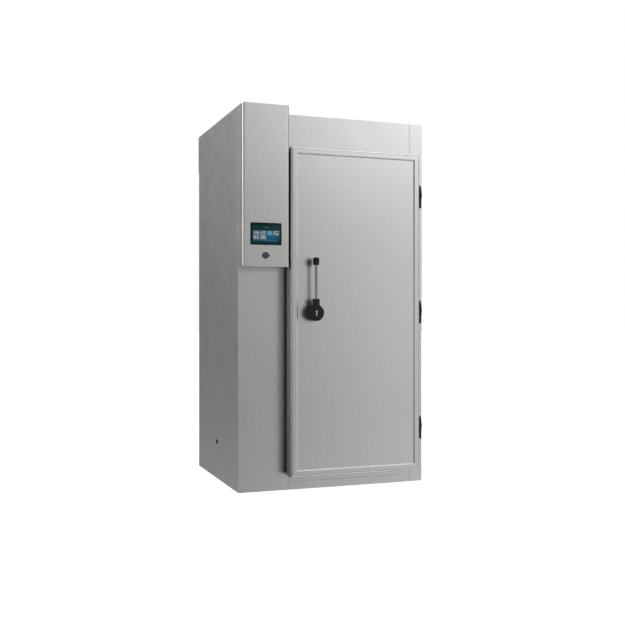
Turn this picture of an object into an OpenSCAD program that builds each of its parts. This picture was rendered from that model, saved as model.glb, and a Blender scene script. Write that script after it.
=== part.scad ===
// Roll-in blast chiller: an insulated stainless cabin for one trolley, cooled by a
// coil and three fans behind a panel on its left. The refrigeration unit is remote.
// Front faces -Y, the cabin stands on the floor at Z = 0, and the origin is the
// middle of its footprint.

/* [Cabinet] */
// Width over the side walls
body_w = 1200; // [1100:10:1500]
// Depth from the front face to the rear face
body_d = 1030; // [960:10:1400]
// Height of the roof above the floor
body_h = 2250; // [2150:10:2600]
// Thickness of the insulated wall panels
wall = 86; // [70:2:100]
// Height of the base tray under the floor panel
base_h = 47.5; // [30:0.5:60]
// Joint between the base tray and the floor panel
base_joint = 1; // [0.5:0.1:3]
// Height of the finished floor and of the door sill
floor_h = 108; // [90:1:130]
// Height of the fixed header over the doorway
header_h = 227; // [180:1:400]
// How far the left side stands above the roof
side_rise = 31; // [15:1:60]
// Radius of the folded front corners of the cabinet
corner_r = 2; // [1:0.5:8]
// Seam between neighbouring panels
seam = 0.5; // [0.2:0.1:0.8]
// Thickness of the folded stainless sheet
sheet = 1.5; // [1:0.1:2.5]

/* [Door] */
// How far the door laps over the cabinet round the doorway
door_lap = 17.5; // [16:0.5:24]
// Thickness of the door
door_t = 78; // [60:1:100]
// Space between the cabinet front and the back of the door, filled by frame and seal
seal_space = 32; // [28:1:45]
// Width of the raised rim, with its rounded outer edge
rim_w = 36; // [25:1:50]
// Radius of the rounded outer edge of the door
rim_r = 12; // [4:1:20]
// Width of the slope between the rim and the sunk panel
slope_w = 9; // [4:1:16]
// Depth of the sunk panel
recess = 2.6; // [1.6:0.1:8]
// Width of the frame and of the seal round the doorway
frame_w = 14; // [10:0.5:15]
// Thickness of the frame on the cabinet front
frame_t = 18; // [12:1:24]

/* [Door hinges] */
// Height of a hinge
hinge_h = 142; // [110:2:180]
// Distance of the top and bottom hinges from the middle hinge
hinge_spread = 717; // [600:5:800]
// Distance of the hinge axis from the edge of the door
hinge_out = 14.5; // [13:0.5:20]
// Distance of the hinge axis from the cabinet front
hinge_p = 80; // [70:1:95]
// Radius of the hinge pin
hinge_pin_r = 5; // [4:0.5:7]

/* [Handle] */
// Distance of the handle axis from the free edge of the door
handle_inset = 137.5; // [120:0.5:180]
// Height of the handle axis above the floor
handle_h = 1061; // [950:1:1200]
// Radius of the handle hub
hub_r = 48; // [38:1:52]
// Distance of the hub face from the sunk panel
hub_out = 65; // [58:1:80]
// Thickness of the fixed rose under the hub
rose_t = 20; // [12:1:24]
// Length of the lever neck above the axis
neck_l = 82; // [70:1:100]
// Width of the lever neck
neck_w = 41; // [36:1:50]
// Radius of the lever rod
rod_r = 7.5; // [5:0.5:8]
// Distance of the lever rod behind the face of the hub
rod_in = 10; // [9.5:0.5:14]
// Height of the bottom of the grip above the axis
grip_at = 281; // [200:1:340]
// Length of the grip
grip_l = 45; // [36:1:120]
// Radius of the grip where it is widest
grip_r = 19; // [15:0.5:22]
// Radius of the spindle through the door
spindle_r = 7; // [5:0.5:9]
// Reach of the latch arm from the spindle axis to the end of its roller
latch_reach = 84; // [75:1:90]

/* [Control housing] */
// Width of the housing on the front of the left column
housing_w = 284; // [240:1:360]
// Gap between the housing and the edge of the door
housing_gap = 6.5; // [4:0.5:15]
// Depth of the housing
housing_d = 98; // [80:1:140]
// Height of the bottom of the housing above the floor
housing_z = 1330; // [1200:5:1400]
// Radius of the front edges of the housing
housing_r = 10; // [4:1:20]
// Width of the touch screen glass
screen_w = 190; // [150:1:230]
// Height of the touch screen glass
screen_h = 129; // [95:1:150]
// Height of the middle of the screen above the bottom of the housing
screen_up = 191.5; // [150:0.5:260]
// Radius of the data port
port_r = 17; // [14:0.5:22]
// Height of the middle of the port above the bottom of the housing
port_up = 66; // [50:1:90]

/* [Fans] */
// Space between the fin block and the fan motors
fan_gap = 16; // [8:1:60]
// Width of the fixed slotted strip on each side of the fan panel
strip_w = 80; // [60:1:110]
// Radius of the fans over their blade tips
fan_r = 205; // [150:5:230]
// Distance between the middles of neighbouring fans
fan_pitch = 620; // [540:5:640]
// Number of blades on a fan
blades = 5; // [3:1:7]
// Pitch angle of a blade
blade_pitch = 32; // [20:1:40]
// Radius of a fan hub
fan_hub_r = 58; // [45:1:70]
// Number of rings in a fan guard
guard_rings = 7; // [4:1:9]

/* [Evaporator] */
// Thickness of the fin block
coil_t = 80; // [60:1:120]
// Space between the fin block and the roof
coil_top = 156; // [40:1:400]
// Space between neighbouring fins as drawn
fin_pitch = 16; // [12:1:30]
// Number of return bends at each end of the fin block
bends = 12; // [6:1:18]
// Radius of the tubes
tube_r = 8; // [5:0.5:9]
// Radius of the drain pipe
drain_r = 9; // [7:0.5:14]
// Height of the drain outlet above the floor
drain_z = 236; // [225:1:260]

/* [Connections] */
// Radius of the suction pipe stub
suction_r = 14; // [8:0.5:22]
// Radius of the liquid pipe stub
liquid_r = 6; // [4:0.5:10]
// Length of the pipe stubs behind the rear cover
stub_l = 60; // [40:5:120]
// Depth of the rear cover behind the cabinet
cover_d = 15; // [10:1:30]
// Height of the rear cover
cover_h = 247; // [180:1:400]
// Radius of the cable hole in the gland
gland_r = 7; // [4:0.5:10]

/* [Hidden] */
$fn = 48;

eps = 0.01;          // overlap that joins or cuts cleanly
seat = 0.3;          // gap between pieces of different bodies that meet
fit = 0.05;          // radial running fit of a pin or a shaft
arc_steps = 8;       // facets in a quarter of a small outline arc

// Cabinet planes
xl = -body_w / 2;
xr = body_w / 2;
yf = -body_d / 2;
yr = body_d / 2;
column_w = housing_w + housing_gap + door_lap;  // room for the housing beside the door
col_x = xl + column_w;              // right edge of the left column = left jamb
jamb_x = xr - wall;                 // right jamb
lintel_z = body_h - header_h;       // top of the doorway
side_h = body_h + side_rise;
in_x = xl + wall;                   // inner face of the left wall
in_yf = yf + wall;                  // inner face of the front column
in_yr = yr - wall;                  // inner face of the rear wall
in_z = body_h - wall;               // underside of the roof panel

// Door planes
dx0 = col_x - door_lap;
dx1 = jamb_x + door_lap;
dz0 = floor_h - door_lap;
dz1 = lintel_z + door_lap;
dyb = yf - seal_space;              // back of the door
dyf = dyb - door_t;                 // front of the rim
dyp = dyf + recess;                 // sunk panel

// Hinge axis
hx = dx1 + hinge_out;
hy = yf - hinge_p;
barrel_r = hinge_out - 0.5;
hinge_mid_z = (dz0 + dz1) / 2;
hinge_zs = [hinge_mid_z - hinge_spread, hinge_mid_z, hinge_mid_z + hinge_spread];

// Handle axis and its layers from the door to the user
ax = dx0 + handle_inset;
az = handle_h;
hub_y = dyp - hub_out;              // face of the hub
rose_y = dyp - rose_t;              // face of the rose
hub_back = rose_y - seat;
rod_y = hub_y + rod_in;              // axis of the lever rod
neck_t = 2 * (rod_in - 1);          // the neck stays just behind the face of the hub
neck_taper = 1.5;                   // how much the neck narrows on each side towards the hub
spindle_in = 10;                    // how far the spindle runs into the hub
lock_back = hub_back - spindle_in - 4.7;    // bottom of the pocket for the key cylinder
key_up = 9;                         // key axis above the handle axis
key_r = 6;                          // round part of the key cylinder
key_tail = 16.5;                    // end of its tail below the handle axis
key_tail_w = 6.8;
key_plug_r = 4.3;
plug_l = 19.5;
latch_y = yf - 11;                  // middle of the latch arm and roller
roller_r = 7.7;
roller_l = 16;
arm_t = 8;
arm_w = 20;
lip_t = 6;
lip_back = latch_y - roller_r - seat;   // face of the keeper lip that the roller runs on
knob_r = 26;

// Control housing
hz1 = side_h;
hx1 = xl + housing_w;
hyf = yf - housing_d;
screen_x = xl + housing_w / 2 - 1.5;
screen_z = housing_z + screen_up;
port_x = screen_x - 2;
port_z = housing_z + port_up;
glass_t = 4;
housing_x = xl + housing_w / 2;     // middle of the housing
cable_r = 18;                       // cable way into the evaporator space
cable_x = hx1 - 60;
cable_z = screen_z + screen_h / 2 + 44;
board_w = 180;
board_h = 220;
board_t = 2;
board_off = 18;                     // stand-off of the control board
terminal_w = 42;
terminal_h = 80;
terminal_d = 62;
rail_w = 210;
rail_h = 35;
rail_t = 8;
// the board and the terminals share the free height over the cable way
free_z = (hz1 - cable_z - cable_r - board_h - terminal_h) / 3;
board_z = cable_z + cable_r + free_z;       // bottom of the control board
rail_z = board_z + board_h + free_z + terminal_h / 2;
display_edge = 6;                   // glass beyond the display behind it
display_t = 14;
driver_w = 120;
driver_h = 80;
driver_t = 16;
bracket_w = 12;
bracket_h = 60;
cap_r = port_r - 4.5;
cap_t = 2.2;
cap_eye_r = 2.6;
cap_hinge_x = port_x - port_r;
port_face = hyf - 4;                // front of the port flange
cap_back = port_face - seat;        // back of the cap plate
cap_y = cap_back - cap_eye_r;       // hinge axis of the port cap

// Fan panel, strips and fans
fan_hub_in = 9;                     // front of a fan hub behind the face of the panel
fan_hub_l = 28;
motor_l = 34;
motor_cap = 6;                      // end cap of a motor
coil_x0 = in_x + 8;
coil_x1 = coil_x0 + coil_t;
// face of the fan panel towards the chamber
px = coil_x1 + fan_gap + motor_cap + motor_l + 3 + fan_hub_l + fan_hub_in;
panel_gap = 3;                      // running gap round the fan panel
panel_y0 = in_yf + strip_w + panel_gap;
panel_y1 = in_yr - strip_w - panel_gap;
panel_z0 = floor_h + 30;
panel_z1 = in_z - 30;
panel_flange = 25;
knuckle_r = 5;
panel_hx = px + knuckle_r + 1;      // hinge axis of the fan panel
panel_hy = panel_y1 + panel_gap / 2;
fan_y = (panel_y0 + panel_y1) / 2;
fan_mid_z = (panel_z0 + panel_z1) / 2;
fan_zs = [fan_mid_z - fan_pitch, fan_mid_z, fan_mid_z + fan_pitch];
ring_r = fan_r + 6;                 // bell mouth round the blades
ring_d = 42;
fan_hub_x = px - fan_hub_in;        // front of the fan hub
motor_r = 52;
motor_x1 = fan_hub_x - fan_hub_l - 3;
shaft_r = 6;

// Evaporator
coil_z0 = drain_z + 52;
coil_z1 = in_z - coil_top;
coil_end = 60;                      // from the last bend to the end of the fin block
bend_pitch = (coil_z1 - coil_z0 - 2 * coil_end) / bends;
bend_r = bend_pitch / 4;
header_r = tube_r * 0.8;
coil_plate = 2;                     // end plates of the fin block
bend_clear = 1.2;
bend_room = coil_plate + bend_r + tube_r + 2 * header_r + 2 * seat + bend_clear;
coil_y0 = in_yf + bend_room;
coil_y1 = in_yr - bend_room;

module block(x0, x1, y0, y1, z0, z1)
    translate([x0, y0, z0]) cube([x1 - x0, y1 - y0, z1 - z0]);

// Cylinder along Y from y0 towards the front, with its axis at x, z
module rod_y(x, z, y0, y1, r)
    translate([x, y1, z]) rotate([-90, 0, 0]) cylinder(h = y0 - y1, r = r);

// Cylinder along X from x0 to x1
module rod_x(x0, x1, y, z, r)
    translate([x0, y, z]) rotate([0, 90, 0]) cylinder(h = x1 - x0, r = r);

function arc(cx, cy, r, a0, a1, n = arc_steps) =
    [for (i = [0:n]) let (a = a0 + (a1 - a0) * i / n) [cx + r * cos(a), cy + r * sin(a)]];

// Plan of a box whose two front corners are rounded; y0 is the front
function front_round(x0, x1, y0, y1, r) = concat(
    [[x1, y1], [x0, y1]],
    arc(x0 + r, y0 + r, r, 180, 270),
    arc(x1 - r, y0 + r, r, 270, 360));

// Plan of a box with four rounded corners
function all_round(x0, x1, y0, y1, r) = concat(
    arc(x0 + r, y0 + r, r, 180, 270), arc(x1 - r, y0 + r, r, 270, 360),
    arc(x1 - r, y1 - r, r, 0, 90), arc(x0 + r, y1 - r, r, 90, 180));

// Slab rounded on all four front edges: one section along Z crossed with one along X
module soft_slab(x0, x1, y0, y1, z0, z1, r)
    intersection() {
        translate([0, 0, z0]) linear_extrude(z1 - z0)
            polygon(front_round(x0, x1, y0, y1, r));
        translate([x0 - 1, 0, 0]) rotate([90, 0, 90]) linear_extrude(x1 - x0 + 2)
            polygon([for (q = front_round(z0, z1, y0, y1, r)) [q[1], q[0]]]);
    }

// ---- Cabinet panels ----

module floor_plan(z0, z1) {
    block(in_x + seam, jamb_x - seam, in_yf + seam, in_yr - seam, z0, z1);
    block(col_x + seam, jamb_x - seam, yf, in_yf + seam + 1, z0, z1);
}

module floor_base() color("silver")
    difference() {
        floor_plan(0, base_h - base_joint);
        // key hole of the corner cam lock
        rod_y(col_x + 5, base_h - 8, yf + 12, yf - 1, 3.5);
    }

module floor_panel() color("silver") {
    floor_plan(base_h, floor_h - 3);
    // tread plate with anti-slip ribs
    block(in_x + seam, jamb_x - seam, in_yf + seam, in_yr - seam, floor_h - 3 - eps, floor_h - 1);
    block(col_x + seam, jamb_x - seam, yf, in_yf + seam + 1, floor_h - 3 - eps, floor_h);
    rib_n = 14;
    for (i = [1:rib_n])
        block(px + 40, jamb_x - 30, in_yf + i * (in_yr - in_yf) / (rib_n + 1) - 3,
            in_yf + i * (in_yr - in_yf) / (rib_n + 1) + 3, floor_h - 1 - eps, floor_h);
}

// Side panel and front column folded as one corner piece
module left_wall() color("gainsboro")
    difference() {
        union() {
            linear_extrude(body_h) polygon(concat(
                [[xl, yr], [in_x, yr], [in_x, in_yf], [col_x, in_yf], [col_x, yf]],
                arc(xl + corner_r, yf + corner_r, corner_r, 270, 180, 4)));
            translate([0, 0, body_h - eps]) linear_extrude(side_rise + eps) polygon(concat(
                [[xl, yr], [in_x, yr], [in_x, yf]],
                arc(xl + corner_r, yf + corner_r, corner_r, 270, 180, 4)));
        }
        rod_x(xl - 1, in_x + 1, 0, drain_z, drain_r + 1.5 + seam);
        // cable way from the control housing to the evaporator space
        rod_y(cable_x, cable_z, in_yf + 1, yf - 1, cable_r);
    }

module right_wall() color("gainsboro")
    linear_extrude(body_h) polygon(concat(
        [[jamb_x, yr], [jamb_x, yf]],
        arc(xr - corner_r, yf + corner_r, corner_r, 270, 360, 4), [[xr, yr]]));

module rear_wall() color("gainsboro")
    difference() {
        block(in_x + seam, jamb_x - seam, in_yr, yr, 0, body_h);
        rod_y(valve_x, valve_z, yr + 1, in_yr - 1, valve_r);
    }

module roof_panel() color("gainsboro")
    block(in_x + seam, jamb_x - seam, in_yf + seam, in_yr - seam, in_z, body_h);

module header_panel() color("gainsboro")
    block(col_x + seam, jamb_x - seam, yf, in_yf, lintel_z, body_h);

// Cover over the cable and pipe run on the roof
module roof_trunk() color("silver")
    difference() {
        block(in_x + seam, hx1, yf, yr, body_h, side_h);
        block(in_x + seam - 1, hx1 - sheet, yf - 1, yr + 1, body_h - 1, side_h - sheet);
    }

// ---- Rear connections ----

cover_z0 = side_h - cover_h;
cover_y = yr + seam + cover_d;
suction_x = xl + 60;
liquid_x = xl + 115;
gland_x = xl + 200;
pipe_z = cover_z0 + 150;
collar_t = 2;
valve_x = jamb_x - 150;
valve_z = body_h - 330;
valve_r = 38;

module rear_cover() color("silver")
    difference() {
        block(xl, hx1, yr + seam, cover_y, cover_z0, side_h);
        block(xl + sheet, hx1 - sheet, yr + seam - 1, cover_y - sheet, cover_z0 + sheet,
            side_h - sheet);
        for (hole = [[suction_x, suction_r + 1], [liquid_x, liquid_r + 1], [gland_x, gland_r + 3]])
            rod_y(hole[0], pipe_z, cover_y + 1, cover_y - sheet - 1, hole[1]);
    }

// A copper stub with the collar that closes the hole in the cover
module pipe_stub(x, r)
    difference() {
        union() {
            rod_y(x, pipe_z, cover_y + stub_l, yr + seam, r);
            rod_y(x, pipe_z, cover_y + collar_t, cover_y, r + 4);
        }
        rod_y(x, pipe_z, cover_y + stub_l + 1, yr + seam + 3, r - 1);
    }

module suction_pipe() color("peru") pipe_stub(suction_x, suction_r);
module liquid_pipe() color("peru") pipe_stub(liquid_x, liquid_r);

module cable_gland() color("dimgray")
    difference() {
        union() {
            rod_y(gland_x, pipe_z, cover_y + 8, cover_y, gland_r + 7);
            translate([gland_x, cover_y + 8 - eps, pipe_z]) rotate([-90, 0, 0])
                cylinder(h = 12, r1 = gland_r + 6, r2 = gland_r + 3);
            rod_y(gland_x, pipe_z, cover_y + eps, cover_y - 8, gland_r + 2.7);
        }
        rod_y(gland_x, pipe_z, cover_y + 21, cover_y - 9, gland_r);
    }

// Pressure relief valve: sleeve through the rear wall with a louvred cap outside
module pressure_valve() color("whitesmoke")
    difference() {
        union() {
            rod_y(valve_x, valve_z, yr, in_yr - 4, valve_r - seat);
            rod_y(valve_x, valve_z, yr + 8, yr, valve_r + 10);
            rod_y(valve_x, valve_z, in_yr, in_yr - 5, valve_r + 8);
        }
        for (i = [-2:2])
            block(valve_x - 28, valve_x + 28, yr + 4, yr + 9, valve_z + i * 11 - 2, valve_z + i * 11 + 2);
        rod_y(valve_x, valve_z, in_yr + 40, in_yr - 6, valve_r - 8);
    }

// ---- Doorway ----

frame_y1 = yf - frame_t;

module frame_sides() color("#202022")
    for (x = [col_x - frame_w, jamb_x])
        block(x, x + frame_w, frame_y1, yf, floor_h, lintel_z);
module frame_top() color("#202022")
    block(col_x - frame_w, jamb_x + frame_w, frame_y1, yf, lintel_z, lintel_z + frame_w);
module door_sill() color("silver")
    block(col_x - frame_w, jamb_x + frame_w, frame_y1, yf, floor_h - frame_w, floor_h);

// Catch on the left jamb; the roller of the latch arm turns in behind its lip
keeper_h = 60;
lip_x1 = ax - latch_reach + roller_l + 2;
module latch_keeper() color("silver")
    difference() {
        union() {
            block(col_x + seat, col_x + 4, lip_back - lip_t, yf + 60, az - keeper_h / 2,
                az + keeper_h / 2);
            translate([0, lip_back, 0]) rotate([90, 0, 0]) linear_extrude(lip_t) polygon([
                [col_x + seat, az - keeper_h / 2], [lip_x1, az - 15],
                [lip_x1, az + 15], [col_x + seat, az + keeper_h / 2]]);
        }
        for (z = [az - 20, az + 20])
            rod_x(col_x - 1, col_x + 6, yf + 45, z, 3);
    }

// ---- Door hinges ----

// Halves of the hinge barrel, from the split outwards: the door half tapers in a bow, the
// fixed half has a short knuckle, a slimmer stem and a cone. Both are relieved at the split.
knuckle_l = 12;      // length of the knuckle of the fixed half
stem_wall = 5.5;     // round the hinge pin
module door_barrel(h)
    rotate_extrude() polygon([
        [0, seat / 2], [barrel_r - 2, seat / 2], [barrel_r, 3], [barrel_r - 0.2, h * 0.18],
        [barrel_r - 1.4, h * 0.41], [barrel_r - 3.2, h * 0.62], [barrel_r - 5.4, h * 0.8],
        [barrel_r - 7.4, h * 0.92], [barrel_r - 10, h], [0, h]]);
module fixed_barrel(h)
    rotate_extrude() polygon([
        [0, seat / 2], [barrel_r - 3, seat / 2], [barrel_r - 1, 3], [barrel_r - 1, knuckle_l],
        [hinge_pin_r + stem_wall, knuckle_l + 4], [hinge_pin_r + stem_wall, h * 0.86],
        [hinge_pin_r - 2.2, h], [0, h]]);

module hinge_brackets() color("#1c1c1e")
    for (z = hinge_zs)
        difference() {
            union() {
                translate([hx, hy, z]) mirror([0, 0, 1]) fixed_barrel(hinge_h / 2);
                block(hx - 8, hx + 10, hy, yf - seat, z - hinge_h / 2 + 22, z - 4);
                block(hx - 12, min(hx + 30, xr - 4), yf - 8, yf - seat, z - hinge_h / 2 + 4, z - 4);
            }
            translate([hx, hy, z - hinge_h / 2 + 8]) cylinder(h = hinge_h, r = hinge_pin_r);
            for (dz = [-hinge_h / 2 + 16, -16])
                rod_y(min(hx + 20, xr - 14), z + dz, yf, yf - 9, 3.2);
        }

module hinge_pins() color("silver")
    for (z = hinge_zs)
        translate([hx, hy, z - hinge_h / 2 + 8]) cylinder(h = hinge_h - 18, r = hinge_pin_r);

module hinge_leaves() color("#1c1c1e")
    for (z = hinge_zs)
        difference() {
            union() {
                translate([hx, hy, z]) door_barrel(hinge_h / 2);
                block(dx1 + eps, dx1 + 3.5, dyf + rim_r + 4, dyb - 6, z + seat / 2, z + hinge_h / 2 - 6);
                block(dx1 + eps, hx, hy - 5, hy + 5, z + seat / 2, z + hinge_h / 2 - 10);
            }
            translate([hx, hy, z - 1]) cylinder(h = hinge_h / 2 - 8, r = hinge_pin_r + fit);
        }

// ---- Control housing ----

module control_housing() color("gainsboro")
    difference() {
        translate([0, 0, housing_z]) linear_extrude(hz1 - housing_z)
            polygon(front_round(xl, hx1, hyf, yf - seam, housing_r));
        translate([0, 0, housing_z + sheet]) linear_extrude(hz1 - housing_z - 2 * sheet)
            polygon(front_round(xl + sheet, hx1 - sheet, hyf + sheet, yf + 1, housing_r - sheet));
        screen_plate(hyf - 1, hyf + sheet + 1, 0.2);
        rod_y(port_x, port_z, hyf + sheet + 1, hyf - 1, port_r - 3);
    }

// Rounded plate round the middle of the screen, grown by g on each side
module screen_plate(y0, y1, g)
    translate([0, y1, 0]) rotate([90, 0, 0]) linear_extrude(y1 - y0)
        polygon(all_round(screen_x - screen_w / 2 - g, screen_x + screen_w / 2 + g,
            screen_z - screen_h / 2 - g, screen_z + screen_h / 2 + g, 6));

module touch_screen() color("#0c1a22") screen_plate(hyf - 0.6, hyf - 0.6 + glass_t, 0);

module display_module() color("dimgray") {
    my0 = hyf - 0.6 + glass_t;
    block(screen_x - screen_w / 2 + display_edge, screen_x + screen_w / 2 - display_edge,
        my0, my0 + display_t, screen_z - screen_h / 2 + display_edge,
        screen_z + screen_h / 2 - display_edge);
    block(screen_x - driver_w / 2, screen_x + driver_w / 2, my0 + display_t - eps,
        my0 + display_t + driver_t, screen_z - driver_h / 2, screen_z + driver_h / 2);
    // brackets back to the column
    for (side = [-1, 1])
        block(screen_x + side * (driver_w - bracket_w) / 2 - bracket_w / 2,
            screen_x + side * (driver_w - bracket_w) / 2 + bracket_w / 2,
            my0 + display_t + driver_t - eps, yf - seat, screen_z - bracket_h / 2,
            screen_z + bracket_h / 2);
}

// Board with a row of relays below and its transformer above, on four stand-offs
module control_board() color("darkgreen") {
    y1 = yf - board_off;
    x0 = housing_x - board_w / 2;
    relay_w = board_w / 9;
    block(x0, x0 + board_w, y1 - board_t, y1, board_z, board_z + board_h);
    for (dx = [12, board_w - 12], dz = [12, board_h - 12])
        rod_y(x0 + dx, board_z + dz, yf - seat, y1, 5);
    for (i = [0:4])
        block(x0 + relay_w * (1 + 1.5 * i), x0 + relay_w * (2 + 1.5 * i), y1 - board_t - board_off,
            y1 - board_t + eps, board_z + relay_w, board_z + relay_w * 2.4);
    block(x0 + relay_w * 1.5, x0 + relay_w * 5, y1 - board_t - 1.35 * board_off,
        y1 - board_t + eps, board_z + board_h * 0.41, board_z + board_h * 0.77);
}

// Contactors and terminals on a mounting rail
module power_terminals() color("lightgray") {
    pitch = terminal_w + 4;
    block(housing_x - rail_w / 2, housing_x + rail_w / 2, yf - rail_t, yf - seat,
        rail_z - rail_h / 2, rail_z + rail_h / 2);
    for (i = [0:3])
        block(housing_x - rail_w / 2 + 7 + i * pitch, housing_x - rail_w / 2 + 7 + i * pitch + terminal_w,
            yf - rail_t - terminal_d, yf - rail_t + eps, rail_z - terminal_h / 2,
            rail_z + terminal_h / 2);
    block(housing_x + rail_w / 2 - 14, housing_x + rail_w / 2 - 2, yf - rail_t - terminal_d * 0.7,
        yf - rail_t + eps, rail_z - terminal_h * 0.35, rail_z + terminal_h * 0.35);
}

module usb_socket() color("#303234")
    difference() {
        union() {
            rod_y(port_x, port_z, hyf, port_face, port_r);
            rod_y(port_x, port_z, hyf + eps, hyf - 2, port_r - 3.3);
            rod_y(port_x, port_z, hyf + 26, hyf, port_r - 3.3);
            // hinge lug for the cap
            for (z = [port_z - 9, port_z + 5.2]) {
                block(cap_hinge_x - cap_eye_r, cap_hinge_x + cap_eye_r, cap_y, hyf, z, z + 3.8);
                translate([cap_hinge_x, cap_y, z]) cylinder(h = 3.8, r = cap_eye_r);
            }
            translate([cap_hinge_x, cap_y, port_z - 9]) cylinder(h = 18, r = 1.5);
        }
        rod_y(port_x, port_z, hyf - 0.8, port_face - 1, cap_r + 0.9);
        block(port_x - 6.5, port_x + 6.5, hyf - 3, hyf + 16, port_z - 3, port_z + 3);
    }

module usb_cap() color("#4a4c4e")
    difference() {
        union() {
            rod_y(port_x, port_z, hyf - 1.6, cap_back - eps, cap_r);
            rod_y(port_x, port_z, cap_back, cap_back - cap_t, cap_r + 2);
            // finger tab on the right, strap and eye on the left
            translate([0, cap_back, 0]) rotate([90, 0, 0]) linear_extrude(cap_t) polygon([
                [port_x, port_z + 9], [port_x + port_r + 9, port_z + 2.5],
                [port_x + port_r + 9, port_z - 2.5], [port_x, port_z - 9]]);
            block(cap_hinge_x, port_x, cap_back - cap_t, cap_back, port_z - 4.8, port_z + 4.8);
            translate([cap_hinge_x, cap_y, port_z - 4.8]) cylinder(h = 9.6, r = cap_eye_r);
        }
        translate([cap_hinge_x, cap_y, port_z - 6]) cylinder(h = 12, r = 1.5 + fit);
    }

// ---- Evaporator ----

module drip_tray() color("silver")
    difference() {
        block(in_x + seam, coil_x1 + 14, in_yf + 20, in_yr - 20, drain_z + drain_r + 8, coil_z0 - 6);
        block(in_x + seam + 2, coil_x1 + 12, in_yf + 22, in_yr - 22, drain_z + drain_r + 12,
            coil_z0 - 5);
        translate([in_x + 30, 0, drain_z]) cylinder(h = 60, r = drain_r - 1.5);
    }

module drain_pipe() color("lightgray")
    difference() {
        union() {
            rod_x(xl + bush_l, in_x + 30 + drain_r, 0, drain_z, drain_r);
            translate([in_x + 30, 0, drain_z - drain_r]) cylinder(h = 2 * drain_r + 8, r = drain_r);
        }
        rod_x(xl, in_x + 30 + drain_r - 2, 0, drain_z, drain_r - 1.5);
        translate([in_x + 30, 0, drain_z]) cylinder(h = 2 * drain_r + 30, r = drain_r - 1.5);
    }

bush_l = 22;         // length of the outlet bush inside the wall
module drain_outlet() color("#1c1c1e")
    difference() {
        union() {
            rod_x(xl - 3, xl, 0, drain_z, drain_r + 5);
            rod_x(xl - eps, xl + bush_l, 0, drain_z, drain_r + 1.5);
        }
        rod_x(xl - 4, xl + bush_l + 1, 0, drain_z, drain_r);
    }

// Fin block: a comb in plan, drawn up over the height of the coil
module evaporator_fins() color("lightsteelblue") {
    fin_n = floor((coil_y1 - coil_y0 - 12) / fin_pitch);
    slot_w = fin_pitch * 0.6;
    slot_y = (coil_y1 - coil_y0 - fin_n * fin_pitch) / 2;
    translate([0, 0, coil_z0]) linear_extrude(coil_z1 - coil_z0)
        polygon(concat(
            [[coil_x0, coil_y1], [coil_x0, coil_y0], [coil_x1, coil_y0]],
            [for (i = [0:fin_n - 1], q = [0:3])
                [coil_x1 - (q == 1 || q == 2 ? coil_t * 0.6 : 0),
                 coil_y0 + slot_y + i * fin_pitch + (fin_pitch - slot_w) / 2 + (q < 2 ? 0 : slot_w)]],
            [[coil_x1, coil_y1]]));
    // end plates and feet on the wall
    for (y = [coil_y0 - coil_plate, coil_y1 - eps])
        block(coil_x0 - 2, coil_x1 + 4, y, y + coil_plate + eps, coil_z0 - 6, coil_z1 + 6);
    for (z = [coil_z0 + 60, coil_z1 - 100], y = [coil_y0 + 60, coil_y1 - 100])
        block(in_x + seam, coil_x0 + eps, y, y + 40, z, z + 40);
}

// Return bends at both ends, in two rows. The rear ends join each pair of tubes, the front
// ends the next ones, and the first and the last tube run into the upright header.
module evaporator_tubes() color("peru") {
    rows = [coil_x0 + coil_t * 0.28, coil_x0 + coil_t * 0.72];
    z0 = coil_z0 + coil_end;
    y_front = coil_y0 - coil_plate - seat;
    header_y = y_front - bend_r - tube_r - header_r - seat;
    for (x = rows) {
        for (i = [0:bends - 1])
            translate([x, coil_y1 + coil_plate + seat, z0 + (i + 0.5) * bend_pitch])
                rotate([-90, 0, 0]) rotate([0, 0, 90]) half_bend(bend_r);
        for (i = [1:bends - 1])
            translate([x, y_front, z0 + i * bend_pitch])
                rotate([90, 0, 0]) rotate([0, 0, 90]) half_bend(bend_r);
        for (z = [z0 + bend_pitch / 4, z0 + bends * bend_pitch - bend_pitch / 4])
            rod_y(x, z, y_front, header_y, tube_r * 0.75);
        translate([x, header_y, z0]) cylinder(h = bends * bend_pitch, r = header_r);
    }
}

// Half ring of tube that bulges along +Z between two seats at Z = 0
module half_bend(r)
    rotate([90, 0, 0]) rotate_extrude(angle = 180) translate([r, 0]) circle(r = tube_r);

module expansion_valve() color("goldenrod") {
    vx = coil_x1 + 22;
    vy = in_yf + 28;
    vz = coil_z1 - 90;
    translate([vx, vy, vz]) cylinder(h = 46, r = 12, $fn = 6);
    translate([vx, vy, vz + 46 - eps]) cylinder(h = 12, r = 20);
    translate([vx, vy, vz - 90]) cylinder(h = 90 + eps, r = 5);
    // clip on the front column
    block(vx - 8, vx + 8, in_yf + seat, vy, vz + 10, vz + 30);
}

// ---- Fan wall ----

// Slotted strip that lets the air round the fan panel
module strip(y0, y1) {
    slot_n = 9;
    slot_z = (in_z - floor_h) / slot_n;
    difference() {
        union() {
            block(px - sheet, px, y0, y1, floor_h + seat, in_z - seat);
            block(px - 20, px, y0, y0 + sheet, floor_h + seat, in_z - seat);
            block(px - 20, px, y1 - sheet, y1, floor_h + seat, in_z - seat);
        }
        for (i = [0:slot_n - 1], k = [0, 1])
            block(px - sheet - 1, px + 1, y0 + (k + 0.62) * (y1 - y0) / 2.25 - 7,
                y0 + (k + 0.62) * (y1 - y0) / 2.25 + 7,
                floor_h + i * slot_z + 30, floor_h + (i + 1) * slot_z - 30);
    }
}

module air_strips() color("silver") {
    strip(in_yf + seam, in_yf + strip_w);
    strip(in_yr - strip_w, in_yr - seam);
}

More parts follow.
